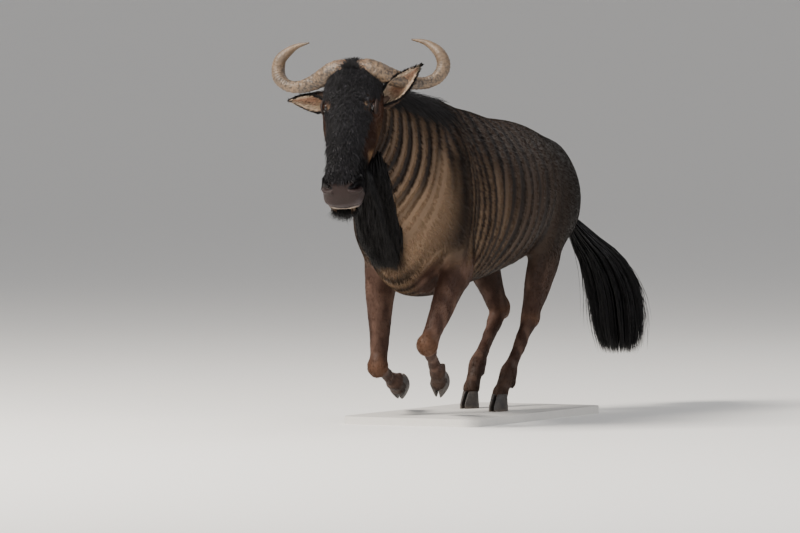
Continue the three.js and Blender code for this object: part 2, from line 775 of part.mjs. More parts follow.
function beard() {
  const core = BEARD_LINE.map(([x, y, z, half, length]) => [x, y, z - length * 0.16, half, length * 0.26]);
  const pieces = [limb(core, 8, 9)];
  for (let i = 0; i < BEARD_LOCKS; i++) {
    for (const [k, tier] of [-1, 0, 1].entries()) {
      const t = (i + 0.2 + 0.3 * k) / BEARD_LOCKS;
      const [x, y, z, half, length] = along(BEARD_LINE, Math.min(1, t));
      const size = length * mix(0.86, 1.08, chance(i * 3 + k + 50));
      const root = vec(x, y + tier * half * 0.6, z - length * (tier === 0 ? 0.22 : 0.1));
      const way = vec(0.12, tier * 0.2, -0.78).multiplyScalar(size);
      const sag = vec(-0.16, tier * -0.06, -0.08).multiplyScalar(size);
      const flat = vec(0.25, tier === 0 ? 1 : tier, 0);
      pieces.push(lock(lockPoints(root, way, sag), mix(44, 58, chance(i + 9 * k + 90)), flat));
    }
  }
  return union(pieces);
}

// Chin tuft: locks that hang from under the lower lip, round a small core
const CHIN_ROWS = [
  [0, 34, 22],
  [16, 38, 24],
  [32, 24, 14],
];
const CHIN_LOCKS = 6;

function chinTuft() {
  const root = headPoint(492, 0, -66);
  const core = CHIN_ROWS.map(([below, across, fore]) => [root.x, root.y, root.z - below, across, fore]);
  const pieces = [limb(core, 8, 4)];
  for (let i = 0; i < CHIN_LOCKS; i++) {
    const a = (2 * Math.PI * (i + 0.5)) / CHIN_LOCKS;
    const [ahead, aside] = [Math.cos(a), Math.sin(a)];
    const start = root.clone().add(vec(ahead * 12, aside * 22, -14));
    const size = mix(48, 66, chance(i + 200));
    const way = vec(ahead * 0.3, aside * 0.42, -0.8).multiplyScalar(size);
    const sag = vec(-0.15, -aside * 0.12, -0.12).multiplyScalar(size);
    pieces.push(lock(lockPoints(start, way, sag), mix(26, 32, chance(i + 220)), vec(ahead, aside, 0.1)));
  }
  return union(pieces);
}

// Tail tuft: locks that leave the dock's end and follow the tuft's own bend
const TUFT_CORE = 0.46; // share of the tuft's length that the core fills
const TUFT_TIERS = [
  { locks: 5, start: 0.1, end: 0.66, sunk: 0.55, out: 1.04 },
  { locks: 5, start: 0.2, end: 0.86, sunk: 0.5, out: 1 },
  { locks: 6, start: 0.3, end: 1, sunk: 0.4, out: 0.9 },
];

function tuft() {
  const core = Array.from({ length: 7 }, (_, i) => {
    const t = (i / 6) * TUFT_CORE;
    const [x, y, z, across, fore] = along(TUFT_ROWS, t);
    const share = 0.9 - 0.35 * (i / 6) ** 2;
    return [x, y, z, across * share, fore * share];
  });
  const pieces = [limb(core, 10, 7)];
  TUFT_TIERS.forEach(({ locks, start, end, sunk, out }, tier) => {
    for (let i = 0; i < locks; i++) {
      const draw = chance(i + 31 * tier);
      const a = (2 * Math.PI * (i + 0.5 * tier + 0.3 * draw)) / locks;
      const last = Math.min(1, end + 0.1 * (draw - 0.5));
      const points = [0, 0.34, 0.7, 1].map((t) => {
        const [x, y, z, across, fore] = along(TUFT_ROWS, mix(start, last, t));
        const reach = mix(sunk, out, Math.min(1, t * 1.6)) + (t === 1 ? 0.12 : 0);
        return vec(x + fore * reach * Math.cos(a), y + across * reach * Math.sin(a), z);
      });
      pieces.push(lock(points, mix(50, 62, draw), vec(Math.cos(a), Math.sin(a), 0.3)));
    }
  });
  return union(pieces);
}

// Assembly

const group = new THREE.Group();

function add(name, solid, look) {
  const mesh = largest(solid).getMesh();
  const positions = new Float32Array(mesh.numVert * 3);
  for (let i = 0; i < mesh.numVert; i++) {
    positions.set(mesh.vertProperties.subarray(i * mesh.numProp, i * mesh.numProp + 3), i * 3);
  }
  const geometry = new THREE.BufferGeometry();
  geometry.setAttribute("position", new THREE.BufferAttribute(positions, 3));
  geometry.setIndex(new THREE.BufferAttribute(mesh.triVerts, 1));
  geometry.computeVertexNormals();
  const made = new THREE.Mesh(geometry, new THREE.MeshStandardMaterial(COLOURS[look]));
  made.name = name;
  group.add(made);
}

// The plain display base, below the soles of the hind hooves

function standBase() {
  const { length, width, thick, corner } = BASE;
  const [x, y] = [length / 2 - corner, width / 2 - corner];
  const outline = new THREE.Shape();
  outline.absarc(x, y, corner, 0, Math.PI / 2);
  outline.absarc(-x, y, corner, Math.PI / 2, Math.PI);
  outline.absarc(-x, -y, corner, Math.PI, 1.5 * Math.PI);
  outline.absarc(x, -y, corner, 1.5 * Math.PI, 2 * Math.PI);
  const slab = new THREE.ExtrudeGeometry(outline, { depth: thick, bevelEnabled: false, curveSegments: 6 });
  slab.translate(BASE.middle[0], BASE.middle[1], -thick - JOINT_GAP);
  return solidOf(slab);
}

const torsoClear = torso(JOINT_GAP);
const headClear = head(JOINT_GAP);
const neckClear = neck(JOINT_GAP);
const hornsClear = [1, -1].map((side) => horn(side, JOINT_GAP));

add("torso", torso(), "coat");
add("neck", without(neck(), [torsoClear, headClear]), "coat");
add("head", head(), "face");
for (const [name, side] of [
  ["left", 1],
  ["right", -1],
]) {
  add(`eye_${name}`, eyeball(side), "eye");
  add(`horn_${name}`, without(horn(side), [headClear]), "horn");
  add(`ear_${name}`, without(ear(name), [headClear, neckClear, ...hornsClear]), "ear");
}
for (const name of Object.keys(LEGS)) {
  add(`${name}_upper`, without(upperLeg(name), [torsoClear]), "leg");
  add(`${name}_lower`, without(lowerLeg(name), [upperLeg(name, JOINT_GAP)]), "leg");
  add(`${name}_hoof_inner`, hoof(name, name.endsWith("left") ? -1 : 1), "hoof");
  add(`${name}_hoof_outer`, hoof(name, name.endsWith("left") ? 1 : -1), "hoof");
}
add("tail_dock", without(limb(DOCK_ROWS, 10, 9), [torsoClear]), "hair");
add("tail_tuft", without(tuft(), [limb(DOCK_ROWS, 10, 9, JOINT_GAP)]), "hair");
add("mane", without(mane(), [torsoClear, neckClear, headClear, ...hornsClear]), "hair");
add("beard", without(beard(), [torsoClear, neckClear, headClear]), "hair");
add("chin_tuft", without(chinTuft(), [largest(head()), headClear]), "hair");
add("stand_base", standBase(), "stand");

// The part's origin is the middle of its box, at the underside of the base.
const box = new THREE.Box3().setFromObject(group);
const middle = box.getCenter(vec(0, 0, 0));
group.position.set(-middle.x, -middle.y, -box.min.z);

export default group;
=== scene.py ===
"""The looks of a blue wildebeest bull that canters with both forelegs folded up, on a plain display base.

Lengths in the tables are millimetres, laid out with z = 0 at the soles of the hind hooves, as in the
part's own source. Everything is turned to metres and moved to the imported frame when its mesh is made.
"""
import math

import bpy
import numpy as np
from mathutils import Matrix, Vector


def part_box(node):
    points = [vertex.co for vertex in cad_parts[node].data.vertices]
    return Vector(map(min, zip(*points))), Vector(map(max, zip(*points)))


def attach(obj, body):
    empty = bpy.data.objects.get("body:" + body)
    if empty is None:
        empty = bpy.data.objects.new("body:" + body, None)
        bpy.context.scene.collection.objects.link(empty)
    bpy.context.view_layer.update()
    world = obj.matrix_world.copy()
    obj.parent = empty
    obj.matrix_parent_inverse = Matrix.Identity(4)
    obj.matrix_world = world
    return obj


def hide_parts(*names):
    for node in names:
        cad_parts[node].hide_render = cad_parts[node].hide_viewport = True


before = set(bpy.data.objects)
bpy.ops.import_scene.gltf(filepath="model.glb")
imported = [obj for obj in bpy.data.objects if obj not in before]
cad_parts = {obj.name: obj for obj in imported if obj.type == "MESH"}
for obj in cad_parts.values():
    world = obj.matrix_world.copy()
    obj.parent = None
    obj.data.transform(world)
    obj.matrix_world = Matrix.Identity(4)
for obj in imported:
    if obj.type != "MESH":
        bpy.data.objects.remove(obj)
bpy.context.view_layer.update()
rng = np.random.default_rng(11)

MM = 0.001
BASE_MIDDLE = (-0.050, 0.0)
BASE_GAP = 0.00035
base_low, base_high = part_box("stand_base")
OFFSET = np.array(
    [
        (base_low.x + base_high.x) / 2 - BASE_MIDDLE[0],
        (base_low.y + base_high.y) / 2 - BASE_MIDDLE[1],
        base_high.z + BASE_GAP,
    ]
)

# Small helpers


def unit(v):
    """Vectors of length one along the last axis."""
    return v / np.maximum(np.linalg.norm(v, axis=-1, keepdims=True), 1e-12)


def ramp(a, b, x):
    """0 below a, 1 above b, and a smooth rise between them."""
    t = np.clip((np.asarray(x, float) - a) / (b - a), 0, 1)
    return t * t * (3 - 2 * t)


def bump_at(x, middle, width):
    """A bell of height 1 at middle."""
    return np.exp(-(((np.asarray(x, float) - middle) / width) ** 2))


def blend(first, second, share):
    """Mixes two colours, or arrays of them, by a share for each point."""
    share = np.asarray(share)[:, None]
    return np.asarray(first) * (1 - share) + np.asarray(second) * share


def rows_at(rows, t):
    """The smooth curve (Catmull-Rom) through rows of numbers, at shares t of its length in rows."""
    rows = np.asarray(rows, float)
    last = len(rows) - 1
    place = np.clip(np.atleast_1d(t), 0, 1) * last
    i = np.minimum(last - 1, place.astype(int))
    f = (place - i)[:, None]
    p, q, r, s = (rows[np.clip(i + k, 0, last)] for k in (-1, 0, 1, 2))
    return q + 0.5 * f * (r - p + f * (2 * p - 5 * q + 4 * r - s + f * (3 * (q - r) + s - p)))


def lattice_noise(points, size, seed=0):
    """Smooth random numbers from 0 to 1 that change over about size: hashed lattice corners, blended."""
    q = points / size + seed * 17.31
    i = np.floor(q).astype(np.int64)
    f = q - i
    f = f * f * (3 - 2 * f)
    total = np.zeros(len(points))
    for corner in np.ndindex(2, 2, 2):
        k = i + corner
        h = (k[:, 0] * 73856093) ^ (k[:, 1] * 19349663) ^ (k[:, 2] * 83492791)
        h = ((h ^ (h >> 13)) * 1274126177) & 0x7FFFFFFF
        weight = np.prod(np.where(corner, f, 1 - f), axis=1)
        total += weight * ((h ^ (h >> 15)) % 10007) / 10007.0
    return total


def mesh_object(name, points, faces):
    """A mesh object from points in the animal's frame and a list of face index arrays of equal width."""
    mesh = bpy.data.meshes.new(name)
    points = np.asarray(points, np.float32) + OFFSET.astype(np.float32)
    counts = np.concatenate([np.full(len(f), f.shape[1]) for f in faces])
    loops = np.concatenate([f.ravel() for f in faces]).astype(np.int32)
    starts = np.concatenate([[0], np.cumsum(counts)[:-1]]).astype(np.int32)
    mesh.vertices.add(len(points))
    mesh.vertices.foreach_set("co", points.ravel())
    mesh.loops.add(len(loops))
    mesh.loops.foreach_set("vertex_index", loops)
    mesh.polygons.add(len(counts))
    mesh.polygons.foreach_set("loop_start", starts)
    mesh.update(calc_edges=True)
    mesh.validate()
    made = bpy.data.objects.new(name, mesh)
    bpy.context.scene.collection.objects.link(made)
    mesh.shade_smooth()
    return made


def tube(rings):
    """Points and faces of a closed stack of rings, an array (rings, sides, 3), with a point in each end."""
    count, sides = rings.shape[:2]
    points = np.concatenate([rings.reshape(-1, 3), rings[:1].mean(1), rings[-1:].mean(1)])
    r, k = np.meshgrid(np.arange(count - 1), np.arange(sides), indexing="ij")
    a = (r * sides + k).ravel()
    b = (r * sides + (k + 1) % sides).ravel()
    quads = np.stack([a, b, b + sides, a + sides], 1)
    k = np.arange(sides)
    after = (k + 1) % sides
    first = np.stack([after, k, np.full(sides, count * sides)], 1)
    end = (count - 1) * sides
    last = np.stack([end + k, end + after, np.full(sides, count * sides + 1)], 1)
    tris = np.concatenate([first, last])
    middle = points.mean(0)
    p, q, s = (points[quads[:, i]] - middle for i in (0, 1, 2))
    if np.sum(np.cross(p, q) * s) < 0:
        quads, tris = quads[:, ::-1], tris[:, ::-1]
    return points, [quads, tris]


def join_shapes(shapes):
    """One set of points and faces from several."""
    points, quads, tris, start = [], [], [], 0
    for p, (q, t) in shapes:
        points.append(p)
        quads.append(q + start)
        tris.append(t + start)
        start += len(p)
    return np.concatenate(points), [np.concatenate(quads), np.concatenate(tris)]


def circles(middle, first, second, radius_1, radius_2, sides):
    """Rings of an ellipse round each middle, spanned by two directions."""
    a = np.linspace(0, 2 * np.pi, sides, endpoint=False)[None, :, None]
    ring = middle[:, None] + first[:, None] * radius_1[:, None, None] * np.cos(a)
    return ring + second[:, None] * radius_2[:, None, None] * np.sin(a)


def limb(rows, sides, steps, shrink=0.0):
    """A limb along rows [x, y, z, half width across, half width fore and aft], in millimetres."""
    v = rows_at(rows, np.linspace(0, 1, steps + 1)) * MM
    way = unit(np.gradient(v[:, :3], axis=0))
    across = unit(np.array([0.0, 1.0, 0.0]) - way * way[:, 1:2])
    fore = np.cross(across, way)
    radii = np.maximum(v[:, 3:5] - shrink, 0.002)
    return tube(circles(v[:, :3], across, fore, radii[:, 0], radii[:, 1], sides))


def egg_rings(rows, sides, steps, shrink, to_point):
    """Rings of an egg-shaped outline along rows: place, top, bottom, half width, height of the widest,
    and how far the upper and the lower half are pinched in."""
    v = rows_at(rows, np.linspace(0, 1, steps + 1))
    place, top, bottom, half, middle = (v[:, i : i + 1] for i in range(5))
    a = np.linspace(0, 2 * np.pi, sides, endpoint=False)[None]
    c, s = np.cos(a), np.sin(a)
    pinch = np.where(s > 0, v[:, 5:6], v[:, 6:7])
    side = np.maximum(half - shrink, 3) * c * (1 - pinch * s * s)
    height = middle + np.where(s > 0, top - shrink - middle, middle - bottom - shrink) * s
    return to_point(place + 0 * side, side, height)


# The body's sizes, as in the part's source

TRUNK_ROWS = [
    [690, 900, 640, 60, 770, 0, 0],
    [650, 1020, 520, 138, 760, 0.1, 0.1],
    [540, 1150, 456, 190, 760, 0.35, 0.15],
    [350, 1214, 446, 222, 750, 0.5, 0.1],
    [140, 1176, 476, 244, 755, 0.42, 0.05],
    [-60, 1138, 506, 254, 780, 0.22, 0],
    [-270, 1120, 550, 240, 820, 0.12, 0.05],
    [-450, 1092, 610, 206, 860, 0.1, 0.1],
    [-600, 1034, 670, 168, 860, 0.1, 0.1],
    [-690, 960, 720, 118, 840, 0.1, 0.1],
    [-728, 896, 780, 50, 838, 0, 0],
]
SHOULDER_BLADE = [
    [330, 74, 1120, 24, 50],
    [385, 122, 990, 62, 118],
    [455, 156, 850, 74, 142],
    [478, 168, 735, 70, 128],
    [446, 170, 640, 60, 92],
    [428, 168, 560, 44, 56],
]
HIND_QUARTER = [
    [-440, 60, 1006, 40, 80],
    [-480, 100, 930, 84, 166],
    [-476, 136, 820, 92, 206],
    [-410, 158, 700, 72, 156],
    [-384, 158, 600, 54, 98],
]
NECK_ROWS = [
    [450, 0, 880, 140, 280],
    [560, 0, 925, 164, 298],
    [660, 0, 975, 143, 250],
    [760, 0, 1038, 117, 203],
    [850, -2, 1095, 102, 172],
    [935, -4, 1142, 88, 138],
]
DOCK_ROWS = [
    [-640, 0, 925, 34, 36],
    [-755, 2, 850, 28, 28],
    [-845, 8, 752, 24, 24],
    [-935, 24, 668, 19, 19],
    [-1035, 64, 594, 10, 10],
]
TUFT_ROWS = [
    [-885, 12, 728, 32, 38],
    [-980, 40, 642, 44, 52],
    [-1060, 84, 545, 58, 66],
    [-1105, 114, 420, 72, 80],
    [-1116, 126, 290, 74, 82],
    [-1122, 134, 190, 62, 70],
]
MANE_LINE = [
    [905, 22, 1240, 16, 56],
    [800, 14, 1236, 24, 78],
    [660, 8, 1210, 30, 92],
    [520, 4, 1196, 30, 86],
    [360, 2, 1190, 24, 64],
    [200, 0, 1166, 14, 38],
]
BEARD_LINE = [
    [966, 34, 926, 14, 80],
    [928, 29, 906, 24, 140],
    [870, 22, 842, 28, 160],
    [790, 14, 756, 28, 152],
    [720, 8, 680, 24, 124],
    [668, 4, 640, 12, 88],
]

# The head's own frame: down the face, to the animal's left, and out of the face

CROWN = np.array([970.0, -4.0, 1290.0])
HEAD_PITCH, HEAD_TURN, HEAD_ROLL = (math.radians(a) for a in (64, 9, 2))
_down = np.array(
    [
        math.cos(HEAD_PITCH) * math.cos(HEAD_TURN),
        math.cos(HEAD_PITCH) * math.sin(HEAD_TURN),
        -math.sin(HEAD_PITCH),
    ]
)
_left = np.array([-math.sin(HEAD_TURN), math.cos(HEAD_TURN), 0.0])
FACE_OUT = np.cross(_down, _left)
FACE_WAY = _down * math.cos(HEAD_ROLL) + np.cross(FACE_OUT, _down) * math.sin(HEAD_ROLL)
HEAD_LEFT = np.cross(FACE_OUT, FACE_WAY)
HEAD_AXES = np.stack([FACE_WAY, HEAD_LEFT, FACE_OUT])

HEAD_ROWS = [
    [-46, 2, -92, 56, -42, 0, 0],
    [-14, 40, -142, 90, -40, 0, 0],
    [40, 64, -170, 107, -30, 0.1, 0.1],
    [105, 68, -192, 114, -28, 0.12, 0.25],
    [165, 62, -204, 111, -32, 0.22, 0.3],
    [230, 56, -190, 101, -44, 0.15, 0.25],
    [300, 54, -154, 86, -40, 0.05, 0.15],
    [360, 52, -120, 74, -30, -0.05, 0.05],
    [425, 45, -98, 80, -24, -0.15, -0.05],
    [475, 25, -84, 80, -28, -0.2, -0.05],
    [508, -2, -72, 66, -36, 0, 0],
    [522, -22, -56, 34, -40, 0, 0],
    [527, -36, -44, 8, -40, 0, 0],
]
EYE = {"down": 138, "left": 99, "out": 6, "radius": 21, "proud": 9}
NOSTRIL = {"down": 456, "out": 9, "long": 23, "tall": 14}
MOUTH = {"front": 521, "corner": 404, "out": -39, "drop": 20}
SOCKET_LONG, SOCKET_TALL = 27, 17
MUZZLE_START, FACE_END = 400, 527


def head_point(down, left, out):
    """A point of the animal, in metres, from a place in the head's frame, in millimetres."""
    local = np.stack(np.broadcast_arrays(*(np.asarray(v, float) for v in (down, left, out))), -1)
    return (CROWN + local @ HEAD_AXES) * MM


def head_place(points):
    """The head's own down, left and out of points, in millimetres."""
    return ((points / MM - CROWN) @ HEAD_AXES.T).T


def head_outline(down):
    """Top, bottom, half width and height of the widest of the head, at places down the face."""
    rows = np.array(HEAD_ROWS)
    return [np.interp(down, rows[:, 0], rows[:, i]) for i in (1, 2, 3, 4)]


def mouth_line(down):
    """How far out of the face the line between the lips runs, at places down the face."""
    back = np.clip((MOUTH["front"] - down) / (MOUTH["front"] - MOUTH["corner"]), 0, 1) ** (1 / 1.5)
    return MOUTH["out"] - MOUTH["drop"] * back


def nostril_gap(down, out):
    """Distance from the middle of a nostril: 1 at the edge of its slanting oval."""
    rise = out - NOSTRIL["out"]
    return np.hypot((down - NOSTRIL["down"] - 0.55 * rise) / NOSTRIL["long"], rise / NOSTRIL["tall"])


# Legs

LEGS = {
    "fore_left": {"top": [438, 184, 600], "upper": [37.3, -4.6], "lower": [-63, -31], "foot": [-60, -34]},
    "fore_right": {"top": [412, -166, 587], "upper": [5, 1], "lower": [-73, -35], "foot": [-74, -46]},
    "hind_left": {"top": [-300, 172, 700], "upper": [-7.5, -11.5], "lower": [45, 1], "foot": [44, 0]},
    "hind_right": {"top": [-300, -170, 680], "upper": [-30, 14.4], "lower": [45.5, 0], "foot": [28, 0]},
}
SEGMENTS = {"fore": (402, 250, 92), "hind": (366, 300, 92)}
FOREARM_SHARES = [
    [-0.16, 42, 54, 0],
    [0.05, 54, 70, 4],
    [0.3, 50, 62, 4],
    [0.62, 41, 46, 2],
    [0.86, 34, 36, 2],
    [1.03, 37, 37, 4],
]
SHANK_SHARES = [
    [-0.1, 46, 100, -90],
    [0.06, 54, 118, -84],
    [0.3, 54, 98, -66],
    [0.6, 42, 78, -34],
    [0.84, 33, 56, -8],
    [1.03, 31, 44, 4],
]
CANNON_SHARES = [
    [-0.05, 34, 32, 0],
    [0.12, 29, 28, 0],
    [0.4, 22, 25, 0],
    [0.75, 22, 25, 0],
    [0.94, 31, 32, -2],
    [1.06, 30, 31, -2],
]
PASTERN_SHARES = [[-0.12, 30, 30, 0], [0.2, 28, 27, 0], [0.66, 27, 26, 0], [0.94, 32, 31, 0]]
HOOF_HEIGHT, HOOF_LENGTH = 62, 104
FORE_HOOF_TILT = math.radians(42)


def reach(start, length, forward, outward):
    """The end of a bone that leans forward and outward by angles from straight down."""
    down = np.array([math.tan(math.radians(forward)), math.tan(math.radians(outward)), -1.0])
    return start + unit(down) * length


def leg_joints(name):
    """Start, knee or hock, fetlock and coronet of a leg, in millimetres."""
    leg, lengths = LEGS[name], SEGMENTS[name[:4]]
    joints = [np.array(leg["top"], float)]
    for length, way in zip(lengths, ("upper", "lower", "foot")):
        joints.append(reach(joints[-1], length, *leg[way]))
    return joints


def turned(v, axis, angle):
    """v turned about a unit axis."""
    c, s = math.cos(angle), math.sin(angle)
    return v * c + np.cross(axis, v) * s + axis * (axis @ v) * (1 - c)


def hoof_frame(name):
    """The sole's middle, the toe's way and the up of a foot. A grounded hoof lies flat on z = 0."""
    _, _, fetlock, coronet = leg_joints(name)
    way = unit(coronet - fetlock)
    if name.startswith("hind"):
        return np.array([coronet[0] + 16, coronet[1], 0.0]), np.array([1.0, 0, 0]), np.array([0, 0, 1.0])
    across = unit(np.array([0, 1.0, 0]) - way * way[1])
    up = turned(-way, across, FORE_HOOF_TILT)
    toe = np.cross(across, up)
    return coronet + up * (8 - HOOF_HEIGHT) + toe * 12, toe, up


def bone_rows(start, end, shares, deeper=1.0):
    """Rows of a limb from shares of the way, half widths, and how far it stands forward of the line."""
    rows = []
    for t, across, fore, ahead in shares:
        p = start + (end - start) * t
        rows.append([p[0] + ahead, p[1], p[2], across, fore * deeper])
    return rows


def leg_shapes(name, shrink):
    """The closed shapes that make up a leg."""
    top, knee, fetlock, coronet = leg_joints(name)
    fore = name.startswith("fore")
    shapes = [limb(bone_rows(top, knee, FOREARM_SHARES if fore else SHANK_SHARES), 40, 60, shrink)]
    shapes.append(limb(bone_rows(knee, fetlock, CANNON_SHARES, 1 if fore else 1.1), 40, 50, shrink))
    _, toe, up = hoof_frame(name)
    pastern = bone_rows(fetlock, coronet, PASTERN_SHARES)
    pastern.append([*(coronet - up * 22 + toe * 5), 33, 33])
    shapes.append(limb(pastern, 40, 30, shrink))
    if fore:
        side = unit(knee - fetlock)
        cap = [[*(knee + side * k), r, r + 3] for k, r in ((44, 22), (30, 34), (8, 41), (-16, 38), (-38, 26))]
        cap = [[x + 5, y, z, a, b] for x, y, z, a, b in cap]
        shapes.append(limb(cap, 40, 20, shrink))
        elbow = unit(knee - top)
        muscle = [
            [*(top + elbow * -30 + [-8, 0, 0]), 30, 50],
            [*(top + elbow * 60 + [2, 8, 0]), 50, 62],
            [*(top + elbow * 170 + [6, 8, 0]), 40, 46],
            [*(top + elbow * 260 + [4, 4, 0]), 26, 30],
        ]
        shapes.append(limb(muscle, 40, 24, shrink))
    else:
        lean = unit(top - knee)
        heel = [
            [knee[0] - 10, knee[1], knee[2] - 16, 26, 32],
            [knee[0] - 34, knee[1], knee[2] + 12, 25, 28],
            [knee[0] - 44 + lean[0] * 50, knee[1] + lean[1] * 40, knee[2] + 50, 17, 19],
            [knee[0] - 40 + lean[0] * 120, knee[1] + lean[1] * 110, knee[2] + 116, 12, 12],
        ]
        shapes.append(limb(heel, 32, 30, shrink))
    way, bone = unit(coronet - fetlock), unit(fetlock - knee)
    across = unit(np.array([0, 1.0, 0]) - way * way[1])
    back = -np.cross(way, across)
    for s in (1, -1):
        root = fetlock + way * 4 + across * 15 * s
        claw = [[*(root + back * b + bone * c), r, r] for b, c, r in ((12, 0, 12), (30, 6, 11), (40, 22, 5))]
        shapes.append(limb(claw, 20, 12))
    return shapes


# Skin: one closed surface of the body, neck, head, legs and dock, inside the solids by the coat's depth

BODY_SHRINK = 0.008
LEG_SHRINK = 0.0025
DOCK_SHRINK = 0.002
FACE_SHRINK = 4.0
BODY_VOXEL = 0.0085
RIB_PITCH = 0.062
FOLD_PITCH = 0.031


def mirrored(rows):
    """The same rows on the right side."""
    return [[x, -y, *rest] for x, y, *rest in rows]


def trunk_point(place, side, height):
    """A point of the trunk in metres."""
    return np.stack(np.broadcast_arrays(place, side, height), -1) * MM


def body_shapes():
    """Trunk, shoulders, quarters, neck, legs and dock, with the muscle forms that show through the coat."""
    trunk = egg_rings(TRUNK_ROWS, sides=120, steps=160, shrink=BODY_SHRINK / MM, to_point=trunk_point)
    shapes = [tube(trunk)]
    for rows in (SHOULDER_BLADE, HIND_QUARTER):
        shapes += [limb(side, sides=64, steps=80, shrink=BODY_SHRINK) for side in (rows, mirrored(rows))]
    shapes.append(limb(NECK_ROWS, sides=96, steps=90, shrink=BODY_SHRINK))
    shapes.append(limb(DOCK_ROWS, sides=32, steps=60, shrink=DOCK_SHRINK))
    for name in LEGS:
        shapes += leg_shapes(name, LEG_SHRINK)
    return shapes


def head_shape():
    """The head on a grid, with sockets, brows, nostrils, lips and cheek moved in or out of its surface.

    Each form is a bell or a smooth step in the head's own frame, times a depth in millimetres."""

    def place_on_head(place, side, height):
        return np.stack([place, side, height], -1)

    grid = egg_rings(HEAD_ROWS, sides=156, steps=190, shrink=FACE_SHRINK, to_point=place_on_head)
    d, l, o = grid[..., 0], grid[..., 1], grid[..., 2]
    normal = unit(np.cross(np.roll(grid, -1, 1) - np.roll(grid, 1, 1), np.gradient(grid, axis=0)))
    outward = grid - np.stack([d, 0 * l, o * 0 - 40], -1)
    normal *= np.sign(np.sum(normal * outward, -1, keepdims=True))
    push = np.zeros_like(d)
    aside = np.abs(l)
    far = ramp(40, 70, aside)
    socket = np.hypot((d - EYE["down"]) / SOCKET_LONG, (o - EYE["out"]) / SOCKET_TALL)
    push += far * (-17 * (1 - ramp(0.7, 1.02, socket)) + 3.0 * bump_at(socket, 1.25, 0.3))
    brow = bump_at(d, EYE["down"] - 8, 42) * bump_at(o, EYE["out"] + 30, 14) * ramp(50, 75, aside)
    push += 7 * brow
    push -= 5 * far * bump_at(d, EYE["down"] + 62, 34) * bump_at(o, -6, 20)
    push += 6 * far * bump_at(d, 190, 70) * bump_at(o, -46, 26)
    push -= 4 * far * bump_at(d, 300, 60) * bump_at(o, -20, 26)
    push += 5 * bump_at(aside, 0, 34) * bump_at(d, 330, 80) * (o > 0)
    hole = np.where(aside > 30, nostril_gap(d, o), 9)
    push += -17 * (1 - ramp(0.55, 1.0, hole)) + 5.0 * bump_at(hole, 1.35, 0.34)
    front = ramp(MOUTH["corner"] - 6, MOUTH["corner"] + 16, d)
    line = mouth_line(d)
    lips = -10 * bump_at(o, line, 3.4) + 3 * bump_at(o, line + 12, 9)
    push += front * (lips + 7 * bump_at(o, line - 10, 8))
    push *= ramp(0, 12, FACE_END - d)
    grid = grid + normal * push[..., None]
    return tube(head_point(grid[..., 0], grid[..., 1], grid[..., 2]))


def remeshed(name, shapes, voxel, rounds, factor):
    """One closed mesh round overlapping closed shapes, evened out."""
    made = mesh_object(name, *join_shapes(shapes))
    bpy.context.view_layer.objects.active = made
    remesh = made.modifiers.new("one", "REMESH")
    remesh.mode = "VOXEL"
    remesh.voxel_size = voxel
    smooth = made.modifiers.new("even", "SMOOTH")
    smooth.factor = factor
    smooth.iterations = rounds
    return applied(made)


def applied(made):
    """The object with its modifiers worked into its mesh."""
    graph = bpy.context.evaluated_depsgraph_get()
    mesh = bpy.data.meshes.new_from_object(made.evaluated_get(graph))
    made.modifiers.clear()
    old = made.data
    made.data = mesh
    bpy.data.meshes.remove(old)
    mesh.shade_smooth()
    return made


def mesh_arrays(made):
    """Vertex places in the animal's frame, vertex normals, and triangles of a mesh."""
    mesh = made.data
    mesh.calc_loop_triangles()
    co = np.empty(len(mesh.vertices) * 3, np.float32)
    mesh.vertices.foreach_get("co", co)
    no = np.empty(len(mesh.vertices) * 3, np.float32)
    mesh.vertex_normals.foreach_get("vector", no)
    tri = np.empty(len(mesh.loop_triangles) * 3, np.int32)
    mesh.loop_triangles.foreach_get("vertices", tri)
    return co.reshape(-1, 3).astype(float) - OFFSET, no.reshape(-1, 3).astype(float), tri.reshape(-1, 3)


def neighbours_evened(made, weight, rounds):
    """Moves each vertex towards the middle of its neighbours, by its own weight, some rounds long."""
    mesh = made.data
    edges = np.empty(len(mesh.edges) * 2, np.int32)
    mesh.edges.foreach_get("vertices", edges)
    a, b = edges.reshape(-1, 2).T
    co = mesh_arrays(made)[0]
    count = np.bincount(a, minlength=len(co)) + np.bincount(b, minlength=len(co))
    for _ in range(rounds):
        total = np.zeros_like(co)
        for axis in range(3):
            total[:, axis] = np.bincount(a, co[b, axis], len(co)) + np.bincount(b, co[a, axis], len(co))
        co += weight[:, None] * (total / count[:, None] - co)
    mesh.vertices.foreach_set("co", (co + OFFSET).astype(np.float32).ravel())
    mesh.update()


def make_skin():
    """Body and head as one closed surface, with the place where they meet evened out."""
    body = remeshed("skin", body_shapes(), BODY_VOXEL, rounds=10, factor=0.5)
    high = mesh_arrays(body)[0][:, 2]
    neighbours_evened(body, 0.5 * ramp(0.52, 0.62, high), rounds=60)
    head = mesh_object("skin_head", *head_shape())
    cut = body.modifiers.new("with_head", "BOOLEAN")
    cut.operation = "UNION"
    cut.solver = "MANIFOLD"
    cut.object = head
    skin = applied(body)
    bpy.data.objects.remove(head)
    points = mesh_arrays(skin)[0]
    d, l, o = head_place(points)
    top, bottom, half, middle = head_outline(d)
    depth = np.hypot(l / half, (o - middle) / np.where(o > middle, top - middle, middle - bottom))
    back = ramp(-40, -100, o) * ramp(0.7, 0.95, depth) * ramp(330, 240, d)
    nape = ramp(20, -20, d) * ramp(40, -20, o)
    near = np.maximum(back, nape) * (points[:, 0] > 0.78)
    neighbours_evened(skin, 0.6 * near, rounds=24)
    muscle_relief(skin)
    return skin


